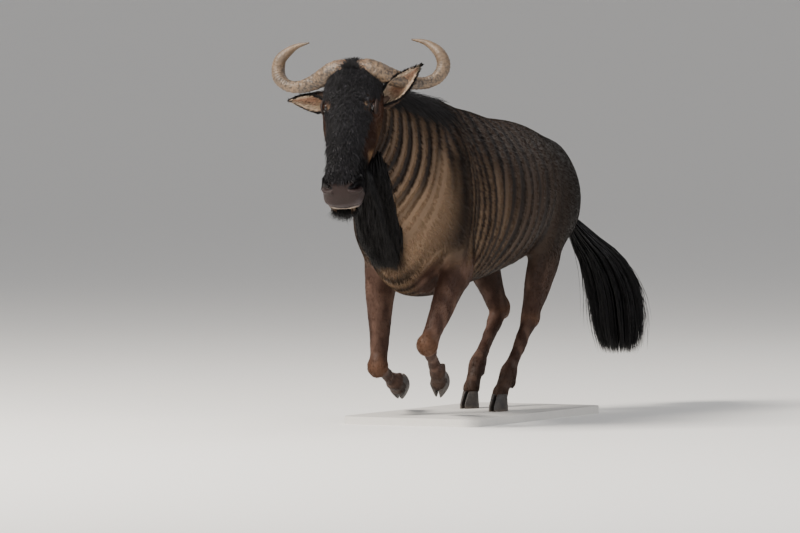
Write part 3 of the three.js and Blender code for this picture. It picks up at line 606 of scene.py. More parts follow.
def muscle_relief(skin):
    """Pushes the skin along its normals: faint ribs on the flank, and uneven muscle on body and limbs.

    Depth in metres = share of the region times (noise less a half), or times the cosine across the ribs."""
    points, normals, _ = mesh_arrays(skin)
    run, below = spine_place(points)
    away = leg_nearness(points)[0]
    head = on_head(points)
    place = run + np.interp(run, *LEAN) * below
    ribs = ramp(0.0, 0.12, run) * ramp(0.62, 0.5, run) * ramp(-0.2, -0.05, below) * ramp(0.26, 0.14, below)
    push = 0.0022 * ribs * np.cos(2 * np.pi * place / RIB_PITCH)
    swell = lattice_noise(points * [1, 1, 0.6], 0.17, 61) - 0.5
    push += 0.011 * (1 - head) * swell * ramp(0.5, 0.6, points[:, 2])
    limbs = (away < 0.13) * ramp(0.66, 0.58, points[:, 2]) * ramp(0.04, 0.09, points[:, 2])
    push += limbs * np.where(points[:, 0] < 0, 0.0050, 0.0030)
    push += 0.0060 * limbs * (lattice_noise(points * [1, 1, 0.4], 0.042, 62) - 0.5)
    push += 0.0030 * limbs * (lattice_noise(points * [1, 1, 0.5], 0.018, 63) - 0.5)
    folds = ramp(0.80, 1.0, run) * (1 - head) * ramp(-0.12, 0.0, below)
    push += 0.0030 * folds * np.cos(2 * np.pi * place / FOLD_PITCH + 4 * lattice_noise(points, 0.1, 64))
    moved = points + normals * push[:, None] + OFFSET
    skin.data.vertices.foreach_set("co", moved.astype(np.float32).ravel())
    skin.data.update()


# Markings, the same for skin and coat

TAN = (0.240, 0.158, 0.100)
BROWN = (0.046, 0.0305, 0.0225)
UMBER = (0.028, 0.019, 0.014)
# Dark of the bands, also used for the painted shade in the crease behind the shoulder.
BANDS_AND_CREASE_SHADE = (0.010, 0.008, 0.008)
RUMP = (0.0105, 0.0082, 0.0075)
# Painted shade for the middle of the belly's underside.
PAINTED_BELLY_SHADE = (0.014, 0.011, 0.010)
RED_LEG = (0.036, 0.0175, 0.0125)
PALE_LEG = (0.125, 0.072, 0.053)
KNEE = (0.105, 0.052, 0.030)
BLACK = (0.0048, 0.0045, 0.0052)
CHEEK = (0.026, 0.0135, 0.010)
CHEEK_TAN = (0.200, 0.120, 0.068)
MUZZLE = (0.060, 0.045, 0.047)
PAD_TOP = (0.022, 0.012, 0.011)
ORBIT = (0.090, 0.041, 0.026)
CREAM = (0.300, 0.200, 0.130)
LIP = (0.420, 0.340, 0.280)

SPINE = np.array(
    [
        [-0.75, 0.86],
        [-0.30, 0.82],
        [0.10, 0.80],
        [0.35, 0.80],
        [0.55, 0.87],
        [0.72, 0.99],
        [0.86, 1.10],
        [1.00, 1.20],
    ]
)
SPINE_START = 0.45
DOCK_START = -0.70
SPINE_RUN = np.concatenate([[0], np.cumsum(np.linalg.norm(np.diff(SPINE, axis=0), axis=1))]) - SPINE_START
SPINE_FINE = np.linspace(SPINE_RUN[0], SPINE_RUN[-1], 400)
ROUNDED = 30


def rounded_spine():
    """The spine as a fine line in x and z, with its corners averaged away, and its way at each place."""
    kernel = np.hanning(2 * ROUNDED + 1) / np.hanning(2 * ROUNDED + 1).sum()
    line = []
    for i in (0, 1):
        straight = np.interp(SPINE_FINE, SPINE_RUN, SPINE[:, i])
        padded = np.pad(straight, ROUNDED, mode="reflect", reflect_type="odd")
        line.append(np.convolve(padded, kernel, "valid"))
    line = np.stack(line, 1)
    return line, unit(np.gradient(line, axis=0))


SPINE_LINE, SPINE_WAY = rounded_spine()


def spine_place(points):
    """How far along the spine a point lies, and how far below it: planes square to the spine, fanned."""
    run = np.interp(points[:, 0], SPINE[:, 0], SPINE_RUN)
    flat = points[:, [0, 2]]
    for _ in range(6):
        centre = np.stack([np.interp(run, SPINE_FINE, SPINE_LINE[:, i]) for i in (0, 1)], 1)
        tangent = unit(np.stack([np.interp(run, SPINE_FINE, SPINE_WAY[:, i]) for i in (0, 1)], 1))
        run = run + 0.7 * np.sum((flat - centre) * tangent, 1)
    below = (flat - centre) @ np.array([0.0, -1.0])
    return run, below


LEAN = np.array(
    [
        [-0.2, 0.15, 0.40, 0.68, 0.85, 1.05, 1.20],
        [-0.20, -0.35, -0.45, -0.03, 0.20, 0.30, 0.42],
    ]
)


def band_share(points):
    """Darkness of the bands and of the painted shade in the crease behind the shoulder, tan of the shoulder
    patch, run along the spine and drop below it.

    Bands are planes square to the spine that lean by LEAN: forward below on the neck, back on the ribs."""
    run, below = spine_place(points)
    wave = 0.030 * (lattice_noise(points * [1, 1, 0.45], 0.16, 1) - 0.5)
    place = run + np.interp(run, *LEAN) * below + wave
    pitch = 0.062 + 0.020 * ramp(0.75, 0.4, run)
    ripple = 0.5 + 0.5 * np.cos(2 * np.pi * place / pitch)
    thin = 0.5 + 0.5 * np.cos(4 * np.pi * place / pitch + 1.3)
    gate = 0.52 + 0.34 * (lattice_noise(points * [1, 1, 0.3], 0.07, 2) - 0.5) + 0.14 * ramp(0.5, 0.2, run)
    main = ramp(gate - 0.15, gate + 0.15, ripple)
    fine = 0.6 * ramp(0.66, 0.95, thin) * lattice_noise(points * [1, 1, 0.4], 0.09, 3)
    strong = ramp(-0.32, 0.10, run) * (0.75 + 0.25 * ramp(0.1, 0.45, run))
    strong *= 0.80 + 0.4 * lattice_noise(points, 0.2, 4)
    middle = 0.905 + 0.25 * np.maximum(below - 0.05, 0)
    patch = bump_at(place, middle, 0.045 + 0.14 * ramp(-0.02, 0.25, below))
    patch *= ramp(-0.14, -0.02, below) * ramp(0.36, 0.26, below)
    dark = np.maximum(main, fine) * strong * (1 - 0.82 * patch)
    shoulder = bump_at(place, 0.795, 0.072) * ramp(-0.25, -0.12, below) * ramp(0.30, 0.16, below)
    streaks = ramp(0.12, 0.42, lattice_noise(points * [1.6, 1, 0.25], 0.05, 12))
    dark = np.maximum(dark, 0.95 * shoulder * streaks)
    # Painted shade: a dark line down the crease behind the shoulder.
    crease_shade = bump_at(place, 0.69, 0.028) * ramp(-0.2, -0.06, below)
    return np.clip(np.maximum(dark, 0.9 * crease_shade), 0, 1), patch, run, below


def nearest_bone(points, before, past):
    """Distance in metres to the nearest bone of a leg, share down that leg from 0 to 3, and the bone's way.

    The share starts at before, above the first bone, and ends at 2 + past, below the last."""
    best = np.full(len(points), 9.0)
    share = np.zeros(len(points))
    way = np.tile([0.0, 0.0, -1.0], (len(points), 1))
    for name in LEGS:
        joints = [j * MM for j in leg_joints(name)]
        for i in range(3):
            a, bone = joints[i], joints[i + 1] - joints[i]
            low, high = before if i == 0 else 0, past if i == 2 else 1
            t = np.clip((points - a) @ bone / (bone @ bone), low, high)
            away = np.linalg.norm(points - a - t[:, None] * bone, axis=1)
            nearer = away < best
            best = np.where(nearer, away, best)
            share = np.where(nearer, i + t, share)
            way = np.where(nearer[:, None], unit(bone), way)
    return best, share, way


def leg_nearness(points):
    """Distance in metres to the nearest bone of a leg, and share down that leg from 0 to 3."""
    return nearest_bone(points, -0.2, 1.1)[:2]


def on_head(points):
    """1 on the head, fading to 0 where the neck starts."""
    d, l, o = head_place(points)
    top, bottom, half, middle = head_outline(d)
    depth = np.hypot(l / (half + 6), (o - middle) / (np.where(o > middle, top - middle, middle - bottom) + 8))
    return ramp(1.12, 1.02, depth) * ramp(-60, -20, d) * (points[:, 0] > 0.8)


def eye_patch(d, l, o):
    """1 on the reddish brown skin round the eye, which the black of the face leaves free."""
    return bump_at(d, EYE["down"] - 4, 42) * bump_at(o, EYE["out"] + 20, 46) * ramp(44, 66, np.abs(l))


def body_colour(points):
    """The body: brown to tan with dark bands and a darker rump, painted shade on the lower belly and keel,
    and a black throat that reaches round its right side as painted shade.
    """
    dark, tan, run, below = band_share(points)
    patch = lattice_noise(points, 0.13, 5)
    light = ramp(0.15, 0.75, run) * ramp(-0.26, -0.02, below)
    colour = blend(BROWN, TAN, np.clip(light * (0.15 + 0.75 * patch), 0, 1))
    colour = blend(colour, TAN, 0.9 * tan)
    colour = blend(colour, UMBER, 0.6 * ramp(0.20, -0.05, run) * (0.6 + 0.4 * patch))
    colour = blend(colour, RUMP, ramp(0.02, -0.22, run) * (0.75 + 0.25 * patch))
    # Painted shade under the belly: umber low on the body, and darker still along the middle of the keel.
    colour = blend(colour, UMBER, 0.8 * ramp(0.22, 0.36, below) * ramp(0.75, 0.3, run))
    keel = 0.85 * ramp(0.27, 0.36, below) * ramp(0.16, 0.02, np.abs(points[:, 1]))
    colour = blend(colour, PAINTED_BELLY_SHADE, keel * ramp(0.6, 0.3, run))
    # Dark bands, and painted shade in the crease behind the shoulder.
    colour = blend(colour, BANDS_AND_CREASE_SHADE, 0.94 * dark)
    # Black throat: black down the middle of the throat's front, and painted shade where the black reaches
    # further round the right side of the neck.
    throat = ramp(0.05, 0.12, below) * ramp(0.33, 0.27, below) * ramp(0.50, 0.57, points[:, 0])
    throat *= ramp(0.23, 0.18, -points[:, 1]) * ramp(0.075, 0.03, points[:, 1])
    return blend(colour, BLACK, throat)


def leg_colour(points, share):
    """The legs: reddish brown with paler streaks painted as highlights, lighter knees and hocks, darker feet
    and thighs.
    """
    # Painted highlights: paler streaks down the legs; finer flecks of the same paler hue vary the hide at
    # random.
    streak = ramp(0.45, 0.8, lattice_noise(points * [1, 1, 0.35], 0.028, 6))
    hide = blend(RED_LEG, PALE_LEG, 0.6 * streak + 0.25 * lattice_noise(points, 0.012, 13))
    hide = blend(hide, KNEE, 0.8 * bump_at(share, 1.02, 0.09))
    hide = blend(hide, UMBER, 0.55 * ramp(1.6, 2.4, share))
    return blend(hide, UMBER, 0.7 * (points[:, 0] < 0) * ramp(0.9, 0.3, share))


def face_colour(points):
    """The head: brown cheeks, black face, reddish skin round the eyes, bare nose pad, lips and nostrils, with
    painted shade inside the nostrils and between the lips.
    """
    d, l, o = head_place(points)
    aside = np.abs(l)
    tan = ramp(0.35, 0.8, lattice_noise(points, 0.05, 7)) * bump_at(d, 285, 85)
    face = blend(CHEEK, CHEEK_TAN, tan * bump_at(o, -34, 34))
    face = blend(face, UMBER, 0.7 * ramp(-70, -120, o))
    mask = ramp(-14, 12, o - 0.12 * (d - 140) + 12 * (lattice_noise(points, 0.02, 8) - 0.5))
    mask = np.maximum(mask, ramp(300, 350, d))
    mask = mask * (1 - 0.92 * eye_patch(d, l, o))
    face = blend(face, BLACK, np.maximum(mask, ramp(60, 10, d) * ramp(-60, 0, o)))
    face = blend(face, ORBIT, 0.9 * eye_patch(d, l, o) * ramp(0.15, 0.6, lattice_noise(points, 0.014, 14)))
    face = blend(face, CREAM, bump_at(d, EYE["down"] + 8, 13) * bump_at(aside, 72, 9) * (o > 10))
    bare = ramp(446, 466, d + 0.35 * np.minimum(o, 0) - 12 * (lattice_noise(points, 0.012, 9) - 0.5))
    edge = 10 * (lattice_noise(points, 0.02, 10) - 0.5)
    pad = blend(MUZZLE, PAD_TOP, np.maximum(ramp(-34, -14, o + edge), ramp(510, 492, d + edge)))
    pad = blend(pad, BLACK, 0.8 * ramp(-56, -70, o))
    face = blend(face, pad, bare)
    line = mouth_line(d)
    face = blend(face, LIP, 0.95 * bump_at(o, line - 10, 6) * ramp(455, 480, d) * ramp(62, 40, aside))
    # Painted shade: a black line in the gap between the lips.
    face = blend(face, BLACK, bump_at(o, line, 2.6) * ramp(400, 412, d))
    # Painted shade: the inside of each nostril is painted black.
    return blend(face, BLACK, (1 - ramp(0.6, 1.0, nostril_gap(d, o))) * (aside > 30))


def coat_colour(points):
    """The colour at points of the animal, in linear light."""
    away, share = leg_nearness(points)
    leg = ramp(0.16, 0.10, away) * ramp(0.64, 0.54, points[:, 2])
    colour = blend(body_colour(points), leg_colour(points, share), leg)
    colour = blend(colour, BLACK, ramp(DOCK_START, DOCK_START - 0.08, points[:, 0]))
    return blend(colour, face_colour(points), on_head(points))


def coat_way(points, normals):
    """The way the coat lies: tailward and a little down on the body, down the limbs and down the face."""
    run = spine_place(points)[0]
    neck = ramp(0.45, 0.8, run)[:, None]
    body = np.array([-0.9, 0.0, -0.42]) * (1 - neck) + np.array([-0.75, 0.0, -0.70]) * neck
    away = leg_nearness(points)[0]
    leg = (ramp(0.16, 0.10, away) * ramp(0.66, 0.56, points[:, 2]))[:, None]
    down = nearest_bone(points, 0, 1)[2]
    way = body * (1 - leg) + down * leg
    tail = ramp(DOCK_START, DOCK_START - 0.06, points[:, 0])[:, None]
    way = way * (1 - tail) + np.array([-0.72, 0.05, -0.68]) * tail
    head = on_head(points)[:, None]
    _, l, o = head_place(points)
    face = FACE_WAY * 0.9 + HEAD_LEFT * (0.3 * np.sign(l) * ramp(0, 40, np.abs(l)))[:, None]
    cheek = FACE_WAY * 0.35 - FACE_OUT * 0.9
    side = ramp(10, -40, o)[:, None]
    way = way * (1 - head) + (face * (1 - side) + cheek * side) * head
    way = way - normals * np.sum(way * normals, 1, keepdims=True)
    return unit(way)


# Hair as closed tapered blades

UV_NAME = "OFBake"
PATCH = 0.003
FAN_STEP = 2.4
MOST_FACES = 195000
ROOT_DEPTH = 0.0010
BLADE_CORNERS = ((-0.5, 0.0), (0.5, 0.0), (0.0, 0.42))
BLADE_SHADES = (0.82, 0.36)
TAIL_SHADES = (0.85, 0.3)


def unwrap(points):
    """A place on an unwrap of the body's own shape: each part's turn round its axis, and run along it."""
    run, below = spine_place(points)
    turn = np.arctan2(points[:, 1], -below) / (2 * np.pi) + 0.5
    uv = np.stack([0.02 + 0.94 * turn, 0.42 + 0.54 * np.clip((run + 0.6) / 2.1, 0, 1)], 1)
    away, share = leg_nearness(points)
    legs = [leg_joints(n) for n in LEGS]
    gaps = np.stack([np.linalg.norm(points[:, :2] - np.array(j[1][:2]) * MM, axis=1) for j in legs])
    which = gaps.argmin(0)
    centre = np.array([j[1] for j in legs])[which] * MM
    twist = np.arctan2(points[:, 1] - centre[:, 1], points[:, 0] - centre[:, 0]) / (2 * np.pi) + 0.5
    leg_run = 0.02 + 0.36 * np.clip((share + 0.2) / 3.3, 0, 1)
    leg_uv = np.stack([0.02 + 0.12 * which + 0.10 * twist, leg_run], 1)
    uv = np.where(((away < 0.14) & (points[:, 2] < 0.62))[:, None], leg_uv, uv)
    d, l, o = head_place(points)
    spin = np.arctan2(l, o + 50) / (2 * np.pi) + 0.5
    head_uv = np.stack([0.54 + 0.42 * spin, 0.02 + 0.36 * np.clip((d + 60) / 620, 0, 1)], 1)
    return np.where((on_head(points) > 0.5)[:, None], head_uv, uv)


def blade_faces(rings):
    """Triangles of one three-sided blade: its root, its sides ring by ring, and its tip."""
    faces = [[0, 2, 1]]
    for r in range(rings - 1):
        for k in range(3):
            a, b = 3 * r + k, 3 * r + (k + 1) % 3
            faces += [[a, b, b + 3], [a, b + 3, a + 3]]
    last = 3 * (rings - 1)
    faces += [[last + k, last + (k + 1) % 3, 3 * rings] for k in range(3)]
    return np.array(faces)


def blade_pieces(name, line, home, normals, widths, share, colours, shades, stuff):
    """Closed three-sided blades along centre lines, an array (blades, stations, 3), in as few pieces as fit.

    Width = widths times the share of each station but the tip. Colour = the blade's colour times
    (the first of shades + the second times the share of the way to the tip)."""
    count, rings = line.shape[0], line.shape[1] - 1
    way = unit(np.gradient(line, axis=1))
    across = unit(np.cross(way, normals[:, None]))
    up = np.cross(across, way)
    corners = []
    for side, rise in BLADE_CORNERS:
        step = across[:, :-1] * side + up[:, :-1] * rise
        corners.append(line[:, :-1] + step * widths[:, None, None] * share[None, :, None])
    points = np.concatenate([np.stack(corners, 2).reshape(count, -1, 3), line[:, -1:]], 1)
    per = points.shape[1]
    faces = blade_faces(rings)
    turn = np.arange(per) * FAN_STEP
    fan = np.stack([np.cos(turn), np.sin(turn)], 1) * PATCH / 2
    height = np.append(np.repeat(np.linspace(0, 1, rings + 1)[:-1], 3), 1.0)
    parts = math.ceil(count / (MOST_FACES // len(faces)))
    pieces = []
    for part, chosen in enumerate(np.array_split(np.arange(count), parts)):
        label = name if parts == 1 else f"{name}_{part + 1}"
        index = (faces[None] + (np.arange(len(chosen)) * per)[:, None, None]).reshape(-1, 3)
        made = mesh_object(label, points[chosen].reshape(-1, 3), [index])
        shade = np.tile(shades[0] + shades[1] * height, len(chosen))[:, None]
        paint(made, np.repeat(colours[chosen], per, 0) * shade)
        uv = made.data.uv_layers.new(name=UV_NAME)
        flat = (home[chosen][:, None] + fan[None]).reshape(-1, 2)
        uv.data.foreach_set("uv", flat[index.ravel()].astype(np.float32).ravel())
        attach(made, "root")
        made.data.materials.append(stuff)
        pieces.append(made)
    return pieces


def blades(
    name,
    roots,
    normals,
    ways,
    lengths,
    widths,
    lift,
    colours,
    stuff,
    rings=1,
    sag=0.0,
    curl=None,
    slot="coat",
):
    """Blades that leave their roots along their ways, rise from the skin by lift times their length in an
    arc, and bend by curl (metres at the tip) and down by sag times their length at the tip.

    Centre line: root + way L t + normal lift L sin(pi t / 2) + curl t^2 - z sag L t^2."""
    lengths = lengths[:, None]
    lift = np.broadcast_to(np.asarray(lift, float), (len(roots),))[:, None]
    line = []
    for step in np.linspace(0, 1, rings + 1):
        p = roots + ways * lengths * step + normals * lift * lengths * math.sin(0.5 * math.pi * step)
        p = p - normals * ROOT_DEPTH * (1 - step)
        if curl is not None:
            p = p + curl * step**2
        p[:, 2] -= (sag * lengths[:, 0]) * step**2
        line.append(p)
    share = np.array([1.0] if rings == 1 else [0.7, *np.linspace(1.0, 0.45, rings - 1)])
    line = np.stack(line, 1)
    return blade_pieces(name, line, unwrap(roots), normals, widths, share, colours, BLADE_SHADES, stuff)


def paint(made, colours):
    """Stores a colour for each vertex, which the coat's materials read."""
    layer = made.data.color_attributes.new("coat_colour", "FLOAT_COLOR", "POINT")
    rgba = np.concatenate([np.clip(colours, 0, 1), np.ones((len(colours), 1))], 1)
    layer.data.foreach_set("color", rgba.astype(np.float32).ravel())


def scatter(points, normals, triangles, count, density):
    """Random places on a surface, by triangle area times the density at its middle."""
    a, b, c = (points[triangles[:, i]] for i in range(3))
    area = 0.5 * np.linalg.norm(np.cross(b - a, c - a), axis=1)
    weight = area * density((a + b + c) / 3)
    chosen = rng.choice(len(triangles), count, p=weight / weight.sum())
    u, v = rng.random((2, count, 1))
    flip = (u + v) > 1
    u, v = np.where(flip, 1 - u, u), np.where(flip, 1 - v, v)
    spot = a[chosen] + u * (b - a)[chosen] + v * (c - a)[chosen]
    na, nb, nc = (normals[triangles[chosen, i]] for i in range(3))
    return spot, unit(na * (1 - u - v) + nb * u + nc * v)


def ruffled(ways, normals, amount):
    """Ways turned a little at random in the surface."""
    side = np.cross(normals, ways)
    return unit(ways + side * rng.normal(0, amount, (len(ways), 1)))


def tinted(colours, spread):
    """Colours varied from blade to blade."""
    shade = np.exp(rng.normal(0, spread, (len(colours), 1)))
    return colours * shade * (1 + rng.normal(0, 0.03, colours.shape))


# Materials: hair and skin read the painted colour, mottled by one shared group of noise in two sizes


def group_with(name, inputs, outputs):
    """An empty shader node group with named sockets: {name: (socket type, default)} and {name: type}."""
    group = bpy.data.node_groups.new(name, "ShaderNodeTree")
    for label, (kind, value) in inputs.items():
        socket = group.interface.new_socket(label, in_out="INPUT", socket_type=kind)
        socket.default_value = value
    for label, kind in outputs.items():
        group.interface.new_socket(label, in_out="OUTPUT", socket_type=kind)
    return group, group.nodes.new("NodeGroupInput"), group.nodes.new("NodeGroupOutput")


def node(tree, kind, links=None, **values):
    """A shader node with its inputs set or linked, and its own settings given as _name."""
    made = tree.nodes.new(kind)
    for key, value in values.items():
        if key.startswith("_"):
            setattr(made, key[1:], value)
        else:
            made.inputs[key].default_value = value
    for key, source in (links or {}).items():
        tree.links.new(source, made.inputs[key])
    return made


def maths(tree, operation, first, second):
    """The result of a sum, difference or product of a socket with another socket or a number."""
    made = node(tree, "ShaderNodeMath", {0: first}, _operation=operation)
    if isinstance(second, float):
        made.inputs[1].default_value = second
    else:
        tree.links.new(second, made.inputs[1])
    return made.outputs[0]


def mottle_group():
    """Colour and height that vary over the surface: two sizes of noise over a base colour."""
    group, inside, outside = group_with(
        "mottle",
        {
            "Color": ("NodeSocketColor", (0.5, 0.5, 0.5, 1)),
            "Size": ("NodeSocketFloat", 40.0),
            "Amount": ("NodeSocketFloat", 0.3),
        },
        {"Color": "NodeSocketColor", "Height": "NodeSocketFloat"},
    )
    place = node(group, "ShaderNodeTexCoord").outputs["Object"]
    size = inside.outputs["Size"]
    coarse = node(group, "ShaderNodeTexNoise", {"Vector": place, "Scale": size}, Detail=3.0)
    bigger = maths(group, "MULTIPLY", size, 6.0)
    fine = node(group, "ShaderNodeTexNoise", {"Vector": place, "Scale": bigger}, Detail=2.0)
    both = maths(group, "ADD", coarse.outputs[0], fine.outputs[0])
    centred = maths(group, "SUBTRACT", both, 1.0)
    raised = maths(group, "ADD", maths(group, "MULTIPLY", centred, inside.outputs["Amount"]), 1.0)
    tint = node(group, "ShaderNodeVectorMath", {0: inside.outputs["Color"]}, _operation="SCALE")
    group.links.new(raised, tint.inputs["Scale"])
    group.links.new(tint.outputs[0], outside.inputs["Color"])
    group.links.new(both, outside.inputs["Height"])
    return group


mottle = mottle_group()


def mottled(name, rough, size, amount, colour=None):
    """A material whose colour, given or painted on the mesh, is mottled: with its tree, shader and group."""
    made = bpy.data.materials.new(name)
    made.use_nodes = True
    tree = made.node_tree
    shader = tree.nodes["Principled BSDF"]
    shader.inputs["Roughness"].default_value = rough
    spots = node(tree, "ShaderNodeGroup", _node_tree=mottle)
    spots.inputs["Size"].default_value = size
    spots.inputs["Amount"].default_value = amount
    if colour:
        spots.inputs["Color"].default_value = colour
    else:
        painted = node(tree, "ShaderNodeAttribute", _attribute_name="coat_colour")
        tree.links.new(painted.outputs["Color"], spots.inputs["Color"])
    tree.links.new(spots.outputs["Color"], shader.inputs["Base Color"])
    return made, tree, shader, spots


def painted_material(name, size, amount, rough, bump, specular=0.5, ior=1.5):
    """A surface in its painted colour, mottled, with the same noise as its bump."""
    made, tree, shader, spots = mottled(name, rough, size, amount)
    shader.inputs["IOR"].default_value = ior
    shader.inputs["Specular IOR Level"].default_value = specular
    if bump:
        height = {"Height": spots.outputs["Height"]}
        relief = node(tree, "ShaderNodeBump", height, Distance=bump, Strength=1.0)
        tree.links.new(relief.outputs["Normal"], shader.inputs["Normal"])
    return made


coat_stuff = painted_material("coat_hair", 90.0, amount=0.16, rough=0.62, bump=0, specular=0.25, ior=1.10)
long_stuff = painted_material("long_hair", 60.0, amount=0.3, rough=0.45, bump=0, ior=1.25)
face_stuff = painted_material("face_hair", 60.0, amount=0.3, rough=0.48, bump=0, ior=1.32)
skin_stuff = painted_material("hide", 150.0, amount=0.25, rough=0.55, bump=0.0003, ior=1.22)
bare_stuff = painted_material("bare_skin", 170.0, amount=0.5, rough=0.42, bump=0.0010, ior=1.3)
horn_stuff = painted_material("horn", 55.0, amount=0.9, rough=0.5, bump=0.0012)
hoof_stuff = painted_material("hoof", 70.0, amount=0.6, rough=0.5, bump=0.0006)


def finished(made, stuff, slot, *nodes):
    """Gives a piece its material and body, and hides the nodes it stands for. slot is not used."""
    made.data.materials.clear()
    made.data.materials.append(stuff)
    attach(made, "root")
    if nodes:
        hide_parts(*nodes)
    return made


# Eyes and lids

EYE_SIDES = {"left": 1, "right": -1}
PUPIL = (0.004, 0.003, 0.003)
IRIS = (0.045, 0.018, 0.008)
EYE_RIM = (0.006, 0.004, 0.004)
LID = (0.020, 0.013, 0.011)


def eyeball(side):
    """A ball, with a flatter bulge on its cornea: radius by the angle from its outward axis."""
    middle = head_point(EYE["down"], side * (EYE["left"] + EYE["proud"] - EYE["radius"] - 3), EYE["out"])
    look = unit(HEAD_LEFT * side * 0.93 + FACE_OUT * 0.36)
    first = unit(np.cross(look, FACE_WAY))
    second = np.cross(look, first)
    a = np.linspace(0.02, math.pi - 0.02, 40)[:, None, None]
    b = np.linspace(0, 2 * math.pi, 48, endpoint=False)[None, :, None]
    radius = (EYE["radius"] + 0.9 * bump_at(a, 0, 0.5)) * MM
    rings = middle + radius * (look * np.cos(a) + (first * np.cos(b) + second * np.sin(b)) * np.sin(a))
    points, faces = tube(rings)
    along_axis = (points - middle) @ look / (EYE["radius"] * MM)
    iris = blend(PUPIL, IRIS, ramp(0.93, 0.86, along_axis))
    return points, faces, blend(iris, EYE_RIM, ramp(0.78, 0.70, along_axis))


def lid_roll(side, upper):
    """A lid: a thin roll along half of the eye's almond, from its front corner to its back corner."""
    a = np.linspace(0.0, 1.0, 40) * math.pi * (1 if upper else -1)
    down = EYE["down"] - (EYE["radius"] + 6.5) * np.cos(a)
    out = EYE["out"] + (EYE["radius"] - (6.5 if upper else 7.5)) * np.sin(a)
    away = 1 - 0.5 * np.abs(np.cos(a)) ** 2
    left = side * (EYE["left"] - 4 + (9 if upper else 6) * away)
    line = head_point(down, left, out)
    way = unit(np.gradient(line, axis=0))
    first = unit(np.cross(way, HEAD_LEFT))
    second = np.cross(way, first)
    size = MM * (0.35 + 0.65 * np.sin(np.abs(a)) ** 0.5) * (6.2 if upper else 4.6)
    return tube(circles(line, first, second, size, size, 16))


def make_eyes():
    """Glossy balls that sit in the sockets, and the lids over them."""
    stuff, _, shader, _ = mottled("eye", rough=0.10, size=300.0, amount=0.3)
    shader.inputs["Coat Weight"].default_value = 0.2
    shader.inputs["Coat Roughness"].default_value = 0.03
    for name, side in EYE_SIDES.items():
        points, faces, tone = eyeball(side)
        made = mesh_object(f"eyeball_{name}", points, faces)
        paint(made, tone)
        finished(made, stuff, "eye", f"eye_{name}")
        lids = mesh_object(f"lids_{name}", *join_shapes([lid_roll(side, True), lid_roll(side, False)]))
        paint(lids, np.tile(LID, (len(lids.data.vertices), 1)))
        finished(lids, skin_stuff, "face")


# Horns

HORN_ROWS = [
    [-8, 8, 12, 34],
    [-16, 48, 8, 38],
    [-6, 92, 2, 36],
    [6, 144, -30, 31],
    [16, 203, -54, 25],
    [12, 252, -68, 22],
    [-4, 288, -74, 23],
    [-32, 313, -73, 25],
    [-66, 319, -67, 25],
    [-95, 308, -50, 22],
    [-122, 281, -45, 17],
    [-141, 246, -38, 10],
    [-150, 198, -30, 3],
]
HORN_PALE = (0.165, 0.106, 0.060)
HORN_GREY = (0.088, 0.064, 0.046)
HORN_BOSS = (0.205, 0.098, 0.045)
HORN_DARK = (0.020, 0.015, 0.012)


def make_horn(name, side):
    """A horn along its rows: rough and cracked at the boss, smoother to the tip.

    Radius = the row's radius, plus lattice noise that fades towards the tip, plus shallow growth rings."""
    steps, sides = 260, 56
    t = np.linspace(0, 1, steps + 1)
    v = rows_at(HORN_ROWS, t)
    centre = head_point(v[:, 0], side * v[:, 1], v[:, 2])
    way = unit(np.gradient(centre, axis=0))
    first = unit(FACE_OUT - way * (way @ FACE_OUT)[:, None])
    second = np.cross(way, first)
    radius = v[:, 3] * MM
    rings = circles(centre, first, second, radius, radius, sides)
    flat = rings.reshape(-1, 3)
    outward = unit(flat - np.repeat(centre, sides, 0))
    place = np.repeat(t, sides)
    rough = 1 - ramp(0.25, 0.75, place)
    knobs = lattice_noise(flat, 0.014, 21) - 0.5 + 0.5 * (lattice_noise(flat, 0.006, 22) - 0.5)
    push = 0.0042 * knobs * rough + 0.0010 * (lattice_noise(flat, 0.008, 23) - 0.5)
    push += 0.0006 * np.sin(place * 260) * ramp(0.1, 0.3, place) * ramp(0.9, 0.6, place)
    push -= 0.0015 * ramp(0.62, 0.75, lattice_noise(flat * [1, 1, 3], 0.012, 24)) * rough
    rings = (flat + outward * push[:, None]).reshape(rings.shape)
    points, faces = tube(rings)
    place = np.append(place, [0, 1])
    tone = blend(HORN_PALE, HORN_GREY, lattice_noise(points, 0.03, 25))
    tone = blend(tone, HORN_BOSS, 0.65 * ramp(0.16, 0.02, place) * lattice_noise(points, 0.03, 26) ** 0.5)
    specks = 0.85 * ramp(0.46, 0.66, lattice_noise(points, 0.0045, 27))
    tone = blend(tone, HORN_DARK, specks * ramp(1.0, 0.3, place))
    tone = blend(tone, HORN_DARK, 0.6 * ramp(0.93, 1.0, place))
    made = mesh_object(f"horn_sheath_{name}", points, faces)
    paint(made, tone)
    return finished(made, horn_stuff, "horn", f"horn_{name}")


# Ears

EARS = {
    "left": {"root": [108, 92, -46], "lean": [-0.6, 0.757, 0.255], "open": [0.429, 0.1, 0.9]},
    "right": {"root": [96, -92, -64], "lean": [-0.3, -0.87, -0.36], "open": [0.8, -0.3, 0.5]},
}
EAR_LENGTH = 215
EAR_STALK = ((-34, 0, 19), (-12, -6, 20), (8, -14, 20), (26, -21, 15), (44, -27, 7))
EAR_CREAM = (0.500, 0.390, 0.290)
EAR_FLESH = (0.330, 0.180, 0.115)
EAR_BROWN = (0.075, 0.050, 0.038)
EAR_BLACK = (0.010, 0.009, 0.009)
NUDGE = 0.01
EAR_HAIRS, RIM_HAIRS = 2600, 900


def ear_axes(name):
    """Start, way, facing and across of an ear."""
    ear = EARS[name]
    start = head_point(*ear["root"])
    way = unit(np.array(ear["lean"]) @ HEAD_AXES)
    face = np.array(ear["open"]) @ HEAD_AXES
    facing = unit(face - way * (face @ way))
    return start, way, facing, np.cross(way, facing)


